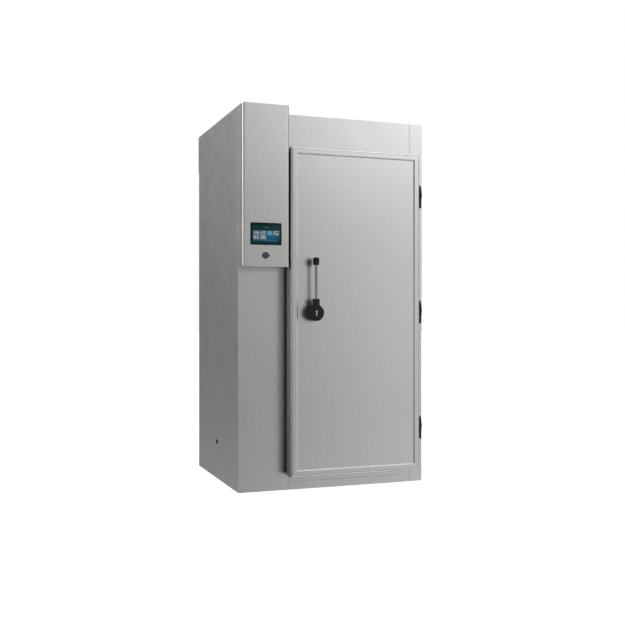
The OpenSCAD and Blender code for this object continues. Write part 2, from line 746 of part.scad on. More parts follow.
knuckle_h = 27;
leaf_w = 30;
hinge_end = 120;     // from the end of the fan panel to its outer hinges
panel_hinge_zs = [panel_z0 + hinge_end, fan_mid_z, panel_z1 - hinge_end];

// Fixed knuckles on the rear strip, with their pins
module fan_panel_hinges() color("silver")
    for (z = panel_hinge_zs) {
        block(px, px + 2, panel_hy + knuckle_r + 0.5, panel_hy + leaf_w, z - knuckle_h * 1.5,
            z + knuckle_h * 1.5);
        for (dz = [-knuckle_h * 1.5, knuckle_h / 2]) {
            translate([panel_hx, panel_hy, z + dz]) cylinder(h = knuckle_h, r = knuckle_r);
            block(px, panel_hx, panel_hy + 1, panel_hy + knuckle_r + 0.5 + eps, z + dz,
                z + dz + knuckle_h);
        }
        translate([panel_hx, panel_hy, z - knuckle_h * 1.5]) cylinder(h = knuckle_h * 3, r = 2.5);
    }

module fan_panel() color("silver") {
    difference() {
        union() {
            block(px - sheet, px, panel_y0, panel_y1, panel_z0, panel_z1);
            for (y = [panel_y0, panel_y1 - sheet])
                block(px - panel_flange, px, y, y + sheet, panel_z0, panel_z1);
            for (z = [panel_z0, panel_z1 - sheet])
                block(px - panel_flange, px, panel_y0, panel_y1, z, z + sheet);
            for (z = fan_zs)
                rod_x(px - ring_d, px, fan_y, z, ring_r + sheet);
        }
        for (z = fan_zs)
            rod_x(px - ring_d - 1, px + 1, fan_y, z, ring_r);
    }
    // moving knuckles
    for (z = panel_hinge_zs)
        difference() {
            union() {
                block(px - eps, px + 2, panel_y1 - leaf_w, panel_y1, z - knuckle_h / 2 + seat,
                    z + knuckle_h / 2 - seat);
                translate([panel_hx, panel_hy, z - knuckle_h / 2 + seat])
                    cylinder(h = knuckle_h - 2 * seat, r = knuckle_r);
                block(px - eps, panel_hx, panel_y1 - knuckle_r, panel_y1,
                    z - knuckle_h / 2 + seat, z + knuckle_h / 2 - seat);
            }
            translate([panel_hx, panel_hy, z - knuckle_h]) cylinder(h = 2 * knuckle_h, r = 2.5 + fit);
        }
}

module fan_motors() color("#303234")
    for (z = fan_zs) {
        difference() {
            union() {
                rod_x(motor_x1 - motor_l, motor_x1, fan_y, z, motor_r);
                rod_x(motor_x1 - motor_l - motor_cap, motor_x1 - motor_l + eps, fan_y, z,
                    motor_r - 14);
            }
            // cooling grooves round the can
            for (k = [1:3])
                difference() {
                    rod_x(motor_x1 - motor_l + k * 8, motor_x1 - motor_l + k * 8 + 3, fan_y, z,
                        motor_r + 1);
                    rod_x(motor_x1 - motor_l, motor_x1, fan_y, z, motor_r - 3);
                }
        }
        rod_x(motor_x1 - eps, fan_hub_x - 8, fan_y, z, shaft_r);
        // four arms out to the bell mouth
        difference() {
            for (a = [45, 135])
                translate([motor_x1 - 5, fan_y, z]) rotate([a, 0, 0])
                    block(-4, 4, -ring_r - sheet - 12, ring_r + sheet + 12, -9, 9);
            rod_x(motor_x1 - 10, motor_x1, fan_y, z, motor_r - 5);
            rod_x(px - ring_d - seat, px, fan_y, z, ring_r + sheet + 30);
        }
    }

module fan_guards() color("silver")
    for (z = fan_zs) {
        for (i = [0:guard_rings - 1]) {
            r = fan_r * 0.2 + (ring_r + 14 - fan_r * 0.2) * i / (guard_rings - 1);
            translate([px + 5, fan_y, z]) rotate([0, 90, 0]) rotate_extrude()
                translate([r, 0]) square([3, 4]);
        }
        for (a = [0:60:120])
            translate([px + seat, fan_y, z]) rotate([a, 0, 0])
                block(0, 5 + eps, -ring_r - 16, ring_r + 16, -2, 2);
    }

module fan_rotor(i) color("#2a2c2e")
    translate([fan_hub_x - fan_hub_l, fan_y, fan_zs[i]]) rotate([0, 90, 0])
        difference() {
            union() {
                rotate_extrude() polygon([[0, 0], [fan_hub_r - 2, 0], [fan_hub_r, 3],
                    [fan_hub_r, fan_hub_l - 6], [fan_hub_r - 5, fan_hub_l], [0, fan_hub_l]]);
                intersection() {
                    for (k = [0:blades - 1])
                        rotate([0, 0, k * 360 / blades]) translate([0, 0, fan_hub_l / 2 - 1])
                            fan_blade();
                    difference() {
                        translate([0, 0, -4]) cylinder(h = fan_hub_l + 8, r = fan_r);
                        translate([0, 0, -5]) cylinder(h = fan_hub_l + 10, r = fan_hub_r - 4);
                    }
                }
            }
            translate([0, 0, -1]) cylinder(h = fan_hub_l - 6 + 1, r = shaft_r + fit);
        }

// One cambered blade along +Y of the rotor, pitched about its own radius
module fan_blade() {
    chord = fan_r * 0.62;
    bow = chord * 0.08;
    bow_r = (chord * chord / 4 + bow * bow) / (2 * bow);
    half_a = asin(chord / 2 / bow_r);
    rotate([-90, 0, 0]) rotate([0, 0, blade_pitch]) linear_extrude(fan_r + 10)
        polygon(concat(
            arc(0, bow_r - bow / 2, bow_r + 1.3, 270 - half_a, 270 + half_a, 8),
            arc(0, bow_r - bow / 2, bow_r - 1.3, 270 + half_a, 270 - half_a, 8)));
}

module fan_rotor_1() fan_rotor(0);
module fan_rotor_2() fan_rotor(1);
module fan_rotor_3() fan_rotor(2);

// ---- Chamber fittings ----

bumper_zs = [floor_h + 150, floor_h + 830];
bumper_t = 20;
bumper_h = 60;
bumper_in = 60;      // from the front column to the end of a rail

// Section of a rail in [distance from the wall, height], with its back on the wall
function bumper_section() = let (h = bumper_h / 2, t = bumper_t) [
    [seat, -h], [t * 0.6, -h * 0.87], [t, -h * 0.53], [t, h * 0.53], [t * 0.6, h * 0.87], [seat, h]];

module right_bumpers() color("whitesmoke")
    for (z = bumper_zs)
        translate([jamb_x, in_yf + bumper_in, z]) rotate([-90, 0, 0])
            linear_extrude(in_yr - in_yf - 2 * bumper_in - bumper_t)
                polygon([for (q = bumper_section()) [-q[0], q[1]]]);

module rear_bumpers() color("whitesmoke")
    for (z = bumper_zs)
        translate([px + 2 * bumper_in, in_yr, z]) rotate([90, 0, 90])
            linear_extrude(jamb_x - px - 3 * bumper_in)
                polygon([for (q = bumper_section()) [-q[0], q[1]]]);

probe_y = in_yf + 120;
probe_drop = 714;    // below the roof
probe_z = in_z - probe_drop;
probe_r = 22;
plug_r = 12;
module probe_socket() color("#303234")
    difference() {
        union() {
            rod_x(jamb_x - 4, jamb_x - seat, probe_y, probe_z, probe_r);
            rod_x(jamb_x - 16, jamb_x - 4 + eps, probe_y, probe_z, plug_r);
        }
        rod_x(jamb_x - 17, jamb_x - 6, probe_y, probe_z, plug_r - 7);
    }

cam_in = 45;         // from a panel edge to the key hole of a cam lock
cam_end = 400;       // from the floor or the roof to the outer cam locks
cam_r = 9;
module cam_lock_caps() color("whitesmoke")
    for (z = [cam_end, body_h / 2, body_h - cam_end], y = [in_yf + cam_in, in_yr - cam_in])
        rod_x(jamb_x - 2.5, jamb_x - seat, y, z, cam_r);

// ---- Door ----

module recess_cut()
    intersection() {
        translate([0, 0, dz0]) linear_extrude(dz1 - dz0) polygon([
            [dx0 + rim_w - slope_w / recess, dyf - 1], [dx1 - rim_w + slope_w / recess, dyf - 1],
            [dx1 - rim_w - slope_w, dyp], [dx0 + rim_w + slope_w, dyp]]);
        translate([dx0, 0, 0]) rotate([90, 0, 90]) linear_extrude(dx1 - dx0) polygon([
            [dyf - 1, dz0 + rim_w - slope_w / recess], [dyf - 1, dz1 - rim_w + slope_w / recess],
            [dyp, dz1 - rim_w - slope_w], [dyp, dz0 + rim_w + slope_w]]);
    }

module door_shell() color("gainsboro")
    difference() {
        soft_slab(dx0, dx1, dyf, dyb, dz0, dz1, rim_r);
        recess_cut();
        soft_slab(dx0 + sheet, dx1 - sheet, dyp + sheet, dyb + 1, dz0 + sheet, dz1 - sheet,
            rim_r - sheet);
        rod_y(ax, az, dyb, dyf, spindle_r + 1);
    }

module door_core() color("khaki")
    difference() {
        soft_slab(dx0 + sheet + seat, dx1 - sheet - seat, dyp + sheet + seat, dyb - sheet - seat,
            dz0 + sheet + seat, dz1 - sheet - seat, rim_r - sheet);
        rod_y(ax, az, dyb, dyf, spindle_r + 1);
    }

module door_liner() color("whitesmoke")
    difference() {
        block(dx0 + sheet + seat, dx1 - sheet - seat, dyb - sheet, dyb, dz0 + sheet + seat,
            dz1 - sheet - seat);
        rod_y(ax, az, dyb + 1, dyb - sheet - 1, spindle_r + 1);
    }

// Seal on the back of the door: a foot and a narrower bulb that meets the frame
module seal_ring(y0, y1, inset)
    difference() {
        block(col_x - frame_w + inset, jamb_x + frame_w - inset, y0, y1,
            floor_h - frame_w + inset, lintel_z + frame_w - inset);
        block(col_x - inset, jamb_x + inset, y0 - 1, y1 + 1, floor_h - inset, lintel_z + inset);
    }

module door_gasket() color("#141416") {
    mid = (dyb + frame_y1) / 2;
    seal_ring(dyb + eps, mid, 0);
    seal_ring(mid - eps, frame_y1 - seat, 3);
}

// ---- Handle ----

module handle_rose() color("#1c1c1e") {
    difference() {
        union() {
            translate([ax, dyp, az]) rotate([90, 0, 0]) rotate_extrude() polygon([
                [0, seat], [hub_r, seat], [hub_r, rose_t - 3], [hub_r - 3, rose_t], [0, rose_t]]);
        }
        rod_y(ax, az, dyp + 1, rose_y - 1, spindle_r + fit);
    }
    // bush on the inner side
    difference() {
        rod_y(ax, az, dyb + 9, dyb + seat, spindle_r + 12);
        rod_y(ax, az, dyb + 10, dyb, spindle_r + fit);
    }
}

// Outline of the key cylinder, a round head over a narrow tail, grown by g
module lock_outline(y0, y1, g) {
    rod_y(ax, az + key_up, y0, y1, key_r + g);
    block(ax - key_tail_w / 2 - g, ax + key_tail_w / 2 + g, y1, y0, az - key_tail - g,
        az + key_up);
}

module handle_hub() color("#18181a")
    difference() {
        union() {
            translate([ax, hub_back, az]) rotate([90, 0, 0]) rotate_extrude() polygon([
                [0, 0], [hub_r - 2, 0], [hub_r, 2], [hub_r, hub_back - hub_y - 5],
                [hub_r - 1.5, hub_back - hub_y - 1.5], [hub_r - 5, hub_back - hub_y],
                [0, hub_back - hub_y]]);
            translate([0, rod_y + neck_t / 2, 0]) rotate([90, 0, 0]) linear_extrude(neck_t)
                polygon(concat([[ax + neck_w / 2 - neck_taper, az]],
                    arc(ax + neck_w / 2 - 4, az + neck_l - 4, 4, 0, 90, 4),
                    arc(ax - neck_w / 2 + 4, az + neck_l - 4, 4, 90, 180, 4),
                    [[ax - neck_w / 2 + neck_taper, az]]));
        }
        lock_outline(lock_back, hub_y - 1, seat);
        rod_y(ax, az, hub_back + 1, hub_back - spindle_in, spindle_r);
        translate([ax, rod_y, az + neck_l - 24]) cylinder(h = 30, r = rod_r);
    }

module lever_rod() color("silver")
    translate([ax, rod_y, az + neck_l - 24])
        cylinder(h = grip_at - neck_l + 24 + 20, r = rod_r);

module grip_cap() color("#18181a")
    difference() {
        // widest near its top, with a low dome
        translate([ax, rod_y, az + grip_at]) rotate_extrude() polygon([
            [0, 0], [grip_r - 3.2, 0], [grip_r - 2, 1.2], [grip_r - 0.3, grip_l * 0.62],
            [grip_r, grip_l * 0.72], [grip_r - 0.8, grip_l * 0.83], [grip_r - 3.5, grip_l * 0.92],
            [grip_r - 8, grip_l * 0.985], [0, grip_l]]);
        translate([ax, rod_y, az + grip_at - 1]) cylinder(h = 21, r = rod_r);
    }

module spindle() color("silver")
    rod_y(ax, az, latch_y, hub_back - spindle_in, spindle_r);

// Arm on the inner end of the spindle; it hangs straight down while the lever stands up
roller_z = az - latch_reach;
module latch_arm() color("silver") {
    difference() {
        union() {
            rod_y(ax, az, latch_y + arm_t / 2, latch_y - arm_t / 2, 15);
            block(ax - arm_w / 2, ax + arm_w / 2, latch_y - arm_t / 2, latch_y + arm_t / 2,
                roller_z + roller_l + seat, az);
        }
        rod_y(ax, az, latch_y + arm_t, latch_y - arm_t, spindle_r);
    }
    translate([ax, latch_y, roller_z - 3]) cylinder(h = roller_l + 10, r = 2.5);
    translate([ax, latch_y, roller_z - 3]) cylinder(h = 2.7, r = 5);
}

module latch_roller() color("ivory")
    translate([ax, latch_y, roller_z]) difference() {
        cylinder(h = roller_l, r = roller_r);
        translate([0, 0, -1]) cylinder(h = roller_l + 2, r = 2.5 + fit);
    }

module release_knob() color("palegreen")
    translate([ax, latch_y + arm_t / 2, az]) rotate([-90, 0, 0])
        rotate_extrude() polygon([[0, 0], [9, 0], [9, 12], [knob_r - 3, 14], [knob_r, 18],
            [knob_r, 30], [knob_r - 4, 34], [0, 36]]);

module lock_cylinder() color("lightgray")
    difference() {
        lock_outline(lock_back - seat, hub_y - 1.2, 0);
        rod_y(ax, az + key_up, hub_y + plug_l + 0.5, hub_y - 2, key_plug_r + fit);
    }

module lock_plug() color("silver")
    difference() {
        rod_y(ax, az + key_up, hub_y + plug_l, hub_y - 1.6, key_plug_r);
        block(ax - 0.8, ax + 0.8, hub_y - 2, hub_y + 6, az + key_up - key_plug_r + 1,
            az + key_up + key_plug_r - 1);
    }

floor_base();
floor_panel();
left_wall();
right_wall();
rear_wall();
roof_panel();
header_panel();
roof_trunk();
rear_cover();
suction_pipe();
liquid_pipe();
cable_gland();
frame_sides();
frame_top();
door_sill();
latch_keeper();
hinge_brackets();
hinge_pins();
control_housing();
touch_screen();
display_module();
control_board();
power_terminals();
usb_socket();
drain_outlet();
drain_pipe();
drip_tray();
evaporator_fins();
evaporator_tubes();
expansion_valve();
air_strips();
fan_panel_hinges();
right_bumpers();
rear_bumpers();
probe_socket();
cam_lock_caps();
pressure_valve();
door_shell();
door_core();
door_liner();
door_gasket();
hinge_leaves();
handle_rose();
handle_hub();
lever_rod();
grip_cap();
spindle();
latch_arm();
release_knob();
lock_cylinder();
lock_plug();
latch_roller();
fan_panel();
fan_motors();
fan_guards();
fan_rotor_1();
fan_rotor_2();
fan_rotor_3();
usb_cap();
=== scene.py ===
# %% [markdown]
# # A roll-in blast chiller, dressed round its construction model
#
# The cabinet, its door and everything that turns already exist as exact solids at their
# real size. This script keeps the flat panels as they are and gives them a finish. Where
# the real piece is round, folded or wound, it works out a smooth surface that stands in the
# same place and rides on the same body.

# %% Load the frame
import math

import bmesh
import bpy
import numpy as np
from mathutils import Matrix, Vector


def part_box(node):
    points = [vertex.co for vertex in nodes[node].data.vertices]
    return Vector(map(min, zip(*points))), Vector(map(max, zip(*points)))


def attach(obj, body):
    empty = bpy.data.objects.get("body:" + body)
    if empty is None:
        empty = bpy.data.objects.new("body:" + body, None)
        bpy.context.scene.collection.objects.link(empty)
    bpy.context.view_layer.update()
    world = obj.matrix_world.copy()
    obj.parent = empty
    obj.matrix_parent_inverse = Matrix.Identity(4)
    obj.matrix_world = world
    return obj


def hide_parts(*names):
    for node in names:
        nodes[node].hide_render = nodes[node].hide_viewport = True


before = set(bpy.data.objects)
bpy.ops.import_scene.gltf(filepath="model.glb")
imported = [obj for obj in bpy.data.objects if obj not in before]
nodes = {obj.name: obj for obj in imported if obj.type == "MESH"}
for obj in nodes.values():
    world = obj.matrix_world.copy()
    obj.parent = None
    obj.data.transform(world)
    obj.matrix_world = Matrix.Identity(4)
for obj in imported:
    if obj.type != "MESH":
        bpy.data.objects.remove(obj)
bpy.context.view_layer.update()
MM = 0.001
print("nodes loaded:", len(nodes))

# %% [markdown]
# ## The camera
#
# The product shot was taken with a level camera that stands to the left of the cabinet and
# about half way up it. Upright edges stay parallel in such a picture, so the camera is
# turned about the vertical only. Its place was worked out from the cabinet's straight edges.

# %% Camera
CAMERA_PLACE = (-2.005, -5.651, 1.063)
CAMERA_TURN = 20.0
CAMERA_LENS = 52.0

camera_data = bpy.data.cameras.new("camera")
camera_data.lens = CAMERA_LENS
camera_data.sensor_width = 36.0
camera = bpy.data.objects.new("camera", camera_data)
camera.location = CAMERA_PLACE
camera.rotation_euler = (math.radians(90), 0, math.radians(-CAMERA_TURN))
bpy.context.scene.collection.objects.link(camera)
bpy.context.scene.camera = camera

# %% [markdown]
# ## Surfaces from arrays
#
# A smooth piece is a grid of points: one index runs along a section, the other along the
# path that carries it. Whole arrays are worked out at once. The helpers below turn a grid
# into faces, close it, and give every piece outward normals and crisp edges only where the
# real one has them.


# %% Mesh helpers
def grid_faces(rows, columns, wrap_rows=False, wrap_columns=False):
    """Quads of a rows x columns grid: corner (i, j) has index i * columns + j."""
    i, j = np.meshgrid(
        np.arange(rows if wrap_rows else rows - 1),
        np.arange(columns if wrap_columns else columns - 1),
        indexing="ij",
    )
    i2, j2 = (i + 1) % rows, (j + 1) % columns
    return np.stack(
        [i * columns + j, i2 * columns + j, i2 * columns + j2, i * columns + j2], -1
    ).reshape(-1, 4)


class Shape:
    """Vertices and faces collected from several grids, then made one object."""

    def __init__(self):
        self.points, self.faces, self.count = [], [], 0

    def add(self, points, quads, caps=()):
        """Points with an array of quads on them, and a list of faces with more corners."""
        points = np.asarray(points, float).reshape(-1, 3)
        self.points.append(points)
        self.faces += (np.asarray(quads) + self.count).tolist()
        self.faces += [(np.asarray(cap) + self.count).tolist() for cap in caps]
        self.count += len(points)
        return self

    def tube(self, grid, wrap_rows=False):
        """Rings of points, grid[i, j], closed along j; capped unless the rows wrap round."""
        rows, columns = grid.shape[:2]
        first = np.arange(columns)
        caps = () if wrap_rows else (first, first + (rows - 1) * columns)
        return self.add(grid, grid_faces(rows, columns, wrap_rows, True), caps)


def solid(name, shape, merge=0.0):
    """An object with outward normals; points closer than merge, in metres, become one."""
    mesh = bpy.data.meshes.new(name)
    mesh.from_pydata(np.concatenate(shape.points).tolist(), [], shape.faces)
    work = bmesh.new()
    work.from_mesh(mesh)
    if merge:
        bmesh.ops.remove_doubles(work, verts=work.verts, dist=merge)
    bmesh.ops.recalc_face_normals(work, faces=work.faces)
    work.to_mesh(mesh)
    work.free()
    thing = bpy.data.objects.new(name, mesh)
    bpy.context.scene.collection.objects.link(thing)
    return thing


def piece(name, shape, body, replaces=(), sharp=32.0, cuts=(), joins=()):
    """One finished object on a body: joined, cut, and smooth below the sharp angle."""
    thing = solid(name, shape, merge=1e-6)
    for kind, others in (("UNION", joins), ("DIFFERENCE", cuts)):
        for other in others:
            change = thing.modifiers.new(kind, "BOOLEAN")
            change.operation = kind
            change.object = other
            change.solver = "EXACT"
    if cuts or joins:
        bpy.context.view_layer.update()
        graph = bpy.context.evaluated_depsgraph_get()
        finished = bpy.data.meshes.new_from_object(thing.evaluated_get(graph))
        thing.modifiers.clear()
        thing.data = finished
    thing.data.shade_smooth()
    thing.data.set_sharp_from_angle(angle=math.radians(sharp))
    for other in (*joins, *cuts):
        bpy.data.objects.remove(other)
    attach(thing, body)
    if replaces:
        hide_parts(*replaces)
    return thing


# %% [markdown]
# ## Profiles, rings and boxes
#
# Turned pieces are a profile of radius and height spun about an axis: a point at angle t
# lies at centre + r cos t * side + r sin t * across + h * axis. Folded pieces are a section
# carried round a rectangle. A turned profile is written in millimetres, as on a drawing, and
# everything that is placed in the cabinet is in metres.


# %% Profile helpers
def spin(profile, centre, axis, steps=64):
    """Grid of a profile [(radius, height), ...] turned about an axis through centre."""
    axis = Vector(axis).normalized()
    side = axis.orthogonal().normalized()
    across = axis.cross(side)
    profile = np.asarray(profile, float) * MM
    turn = np.linspace(0, 2 * np.pi, steps, endpoint=False)
    ring = np.cos(turn)[:, None] * np.array(side) + np.sin(turn)[:, None] * np.array(across)
    return (
        np.array(centre)
        + profile[:, 0, None, None] * ring[None]
        + profile[:, 1, None, None] * np.array(axis)
    )


def arc(cx, cy, r, start, end, steps=8):
    """Points of a circular arc: (cx + r cos a, cy + r sin a)."""
    a = np.radians(np.linspace(start, end, steps + 1))
    return np.stack([cx + r * np.cos(a), cy + r * np.sin(a)], -1)


def rounded_rectangle(x0, x1, z0, z1, r, steps=6):
    """Outline with four quarter circles, anticlockwise, always the same point count."""
    return np.concatenate([
        arc(x1 - r, z1 - r, r, 0, 90, steps),
        arc(x0 + r, z1 - r, r, 90, 180, steps),
        arc(x0 + r, z0 + r, r, 180, 270, steps),
        arc(x1 - r, z0 + r, r, 270, 360, steps),
    ])


def box_into(shape, low, high):
    """Adds a plain box between two corners."""
    (x0, y0, z0), (x1, y1, z1) = low, high
    corners = [(x, y, z) for x in (x0, x1) for y in (y0, y1) for z in (z0, z1)]
    return shape.add(corners, [
        (0, 1, 3, 2), (4, 6, 7, 5), (0, 4, 5, 1), (2, 3, 7, 6), (0, 2, 6, 4), (1, 5, 7, 3),
    ])


def node_box(name):
    """Corners of a construction node as two numpy vectors."""
    low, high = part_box(name)
    return np.array(low), np.array(high)


# %% [markdown]
# ## Writing shader maths as sums
#
# A socket wrapped in Signal can be added, multiplied and compared like a number, and each
# operator adds the Math node that does it. Finish makes any other node from its type, its
# settings and its inputs.


# %% Shader helpers
class Signal:
    """A number that varies over the surface."""

    def __init__(self, finish, socket):
        self.finish, self.socket = finish, socket

    def math(self, operation, *others):
        return self.finish.node("ShaderNodeMath", {"operation": operation}, self, *others)

    def __add__(self, other):
        return self.math("ADD", other)

    def __mul__(self, other):
        return self.math("MULTIPLY", other)

    def __sub__(self, other):
        return self.math("SUBTRACT", other)

    def __rsub__(self, other):
        return self.finish.node("ShaderNodeMath", {"operation": "SUBTRACT"}, other, self)

    def __truediv__(self, other):
        return self.math("DIVIDE", other)

    def __lt__(self, other):
        return self.math("LESS_THAN", other)

    __radd__ = __add__
    __rmul__ = __mul__


def socket_name(word):
    """base_color becomes Base Color, specular_ior_level becomes Specular IOR Level."""
    return word.replace("_", " ").title().replace("Ior", "IOR")


class Finish:
    """A material under construction, with its shader at the end."""

    def __init__(self, name, **shader):
        self.material = bpy.data.materials.new(name)
        self.material.use_nodes = True
        self.tree = self.material.node_tree
        self.shader = self.tree.nodes["Principled BSDF"]
        for socket, value in shader.items():
            self.set(self.shader.inputs[socket_name(socket)], value)

    def set(self, socket, value):
        if isinstance(value, Signal):
            self.tree.links.new(value.socket, socket)
        elif isinstance(value, (tuple, list)) and len(value) == 3 and socket.type == "RGBA":
            socket.default_value = (*value, 1.0)
        else:
            socket.default_value = value

    def node(self, kind, settings, *values, out=0, **named):
        """A node: settings first, then inputs by position or by name, as values or links."""
        made = self.tree.nodes.new(kind)
        for key, value in settings.items():
            setattr(made, key, value)
        for socket, value in zip(made.inputs, values):
            self.set(socket, value)
        for key, value in named.items():
            self.set(made.inputs[key], value)
        return Signal(self, made.outputs[out])

    def place(self, scale=(1, 1, 1), location=(0, 0, 0)):
        """Object coordinates, stretched and moved."""
        where = self.node("ShaderNodeTexCoord", {}, out="Object")
        return self.node("ShaderNodeMapping", {}, Vector=where, Scale=scale, Location=location)

    def noise(self, grains, detail=3.0, roughness=0.5, **place):
        """Noise between 0 and 1 whose grains are 1 / grains metres across."""
        return self.node("ShaderNodeTexNoise", {}, Vector=self.place(**place), Scale=grains,
                         Detail=detail, Roughness=roughness)

    def mix(self, factor, first, second):
        """Colour that goes from first to second."""
        made = self.tree.nodes.new("ShaderNodeMix")
        made.data_type = "RGBA"
        for socket, value in zip((made.inputs[0], made.inputs[6], made.inputs[7]),
                                 (factor, first, second)):
            self.set(socket, value)
        return Signal(self, made.outputs[2])

    def bump(self, height, strength, distance, normal=None):
        made = self.tree.nodes.new("ShaderNodeBump")
        self.set(made.inputs["Height"], height)
        made.inputs["Strength"].default_value = strength
        made.inputs["Distance"].default_value = distance
        if normal is not None:
            self.set(made.inputs["Normal"], normal)
        return Signal(self, made.outputs[0])

    def wear(self, **links):
        """Links the sockets that may change over the surface."""
        for socket, value in links.items():
            self.set(self.shader.inputs[socket_name(socket)], value)
        return self.material


# %% [markdown]
# ## Satin stainless steel
#
# The sheets are rolled and brushed, so they show very fine scratches in one direction, a
# faint cloudiness, and reflections that are spread wide. The scratches are noise stretched
# fifty times along the grain. They change the roughness and tilt the normal a little. A
# second, slow noise stands for the sheet not being perfectly flat.


# %% Steel finishes
ALONG_Z, ALONG_X, NO_GRAIN = (1.0, 1.0, 0.02), (0.02, 1.0, 1.0), (1.0, 1.0, 1.0)


def brushed(name, colour, roughness, grain=ALONG_Z, cloud=0.04, dent=0.03):
    """Brushed sheet; grain is the scale along X, Y and Z, small along the scratches."""
    steel = Finish(name, metallic=1.0, anisotropic=0.2)
    scratches = steel.noise(1400.0, 2.0, 0.6, scale=grain)
    speckle = steel.noise(260.0, 2.0, 0.7)
    clouds = steel.noise(5.0, 3.0, 0.55)
    darker = tuple(0.95 * c for c in colour)
    tone = scratches * 0.45 + speckle * 0.25 + clouds * 0.3
    ripple = steel.bump(clouds, dent, 0.0008)
    lines = steel.bump(scratches, 0.05, 0.00004, normal=ripple)
    return steel.wear(
        base_color=steel.mix(tone, darker, colour),
        roughness=scratches * 0.10 + clouds * cloud + (roughness - 0.05 - cloud / 2),
        normal=lines,
    )


steel_upright = brushed("steel_upright_grain", (0.63, 0.625, 0.615), 0.28)
steel_door = brushed("steel_door", (0.64, 0.635, 0.625), 0.28)
steel_flat = brushed("steel_flat", (0.62, 0.62, 0.615), 0.28, grain=ALONG_X)
steel_inner = brushed("steel_inner", (0.60, 0.605, 0.61), 0.30, dent=0.1)
steel_parts = brushed("steel_parts", (0.55, 0.55, 0.55), 0.27, grain=NO_GRAIN, cloud=0.12,
                      dent=0.05)

# %% [markdown]
# ## Plastics, rubber, chrome and the small metals
#
# Moulded black plastic has a fine spark-eroded grain that catches light at its edges.
# Rubber is duller and a little dusty. Chrome is nearly a mirror with faint polishing marks.


# %% Moulded and plated finishes
def moulded(name, colour, roughness, grain=900.0, depth=0.25, shine=0.5):
    """Plastic with a fine eroded texture and slight dust in broad patches."""
    plastic = Finish(name, specular_ior_level=shine)
    pores = plastic.noise(grain, 2.0, 0.6)
    dust = plastic.noise(18.0, 4.0, 0.6)
    lighter = tuple(min(1.0, c * 1.25 + 0.002) for c in colour)
    return plastic.wear(
        base_color=plastic.mix(dust, colour, lighter),
        roughness=pores * 0.10 + dust * 0.08 + (roughness - 0.09),
        normal=plastic.bump(pores, depth, 0.0002),
    )


def plated(name, colour, roughness, marks=0.04):
    """Bright metal with faint polishing marks."""
    metal = Finish(name, metallic=1.0)
    lines = metal.noise(700.0, 2.0, 0.5, scale=(1.0, 1.0, 0.1))
    tarnish = metal.noise(25.0, 4.0, 0.6)
    dull = tuple(0.82 * c for c in colour)
    return metal.wear(
        base_color=metal.mix(tarnish, colour, dull),
        roughness=lines * marks + tarnish * marks + (roughness - marks),
        normal=metal.bump(lines, 0.05, 0.0001),
    )


black_plastic = moulded("black_plastic", (0.006, 0.006, 0.007), 0.42, shine=0.22)
black_grip = moulded("black_grip", (0.005, 0.005, 0.006), 0.36, grain=1600.0, shine=0.2)
black_frame = moulded("black_frame", (0.006, 0.006, 0.007), 0.55, shine=0.25)
black_rubber = moulded("black_rubber", (0.007, 0.007, 0.008), 0.72, grain=500.0, shine=0.25)
grey_rubber = moulded("grey_rubber", (0.045, 0.047, 0.05), 0.62, grain=600.0)
white_plastic = moulded("white_plastic", (0.76, 0.76, 0.73), 0.38, depth=0.1)
glow_plastic = moulded("glow_plastic", (0.55, 0.78, 0.42), 0.35, depth=0.1)
grey_plastic = moulded("grey_plastic", (0.30, 0.31, 0.32), 0.45)
board_green = moulded("board_green", (0.02, 0.13, 0.05), 0.35, grain=300.0)
foam = moulded("foam", (0.74, 0.66, 0.42), 0.85, grain=350.0, depth=0.6)
chrome = plated("chrome", (0.78, 0.78, 0.79), 0.10)
smoked_chrome = plated("smoked_chrome", (0.33, 0.33, 0.34), 0.18)
satin_nickel = plated("satin_nickel", (0.66, 0.65, 0.63), 0.30, marks=0.08)
copper = plated("copper", (0.72, 0.36, 0.22), 0.30, marks=0.12)
brass = plated("brass", (0.72, 0.52, 0.22), 0.28, marks=0.10)
fin_metal = plated("fin_metal", (0.70, 0.73, 0.76), 0.34, marks=0.10)
sealant = moulded("sealant", (0.30, 0.30, 0.30), 0.55, grain=200.0)

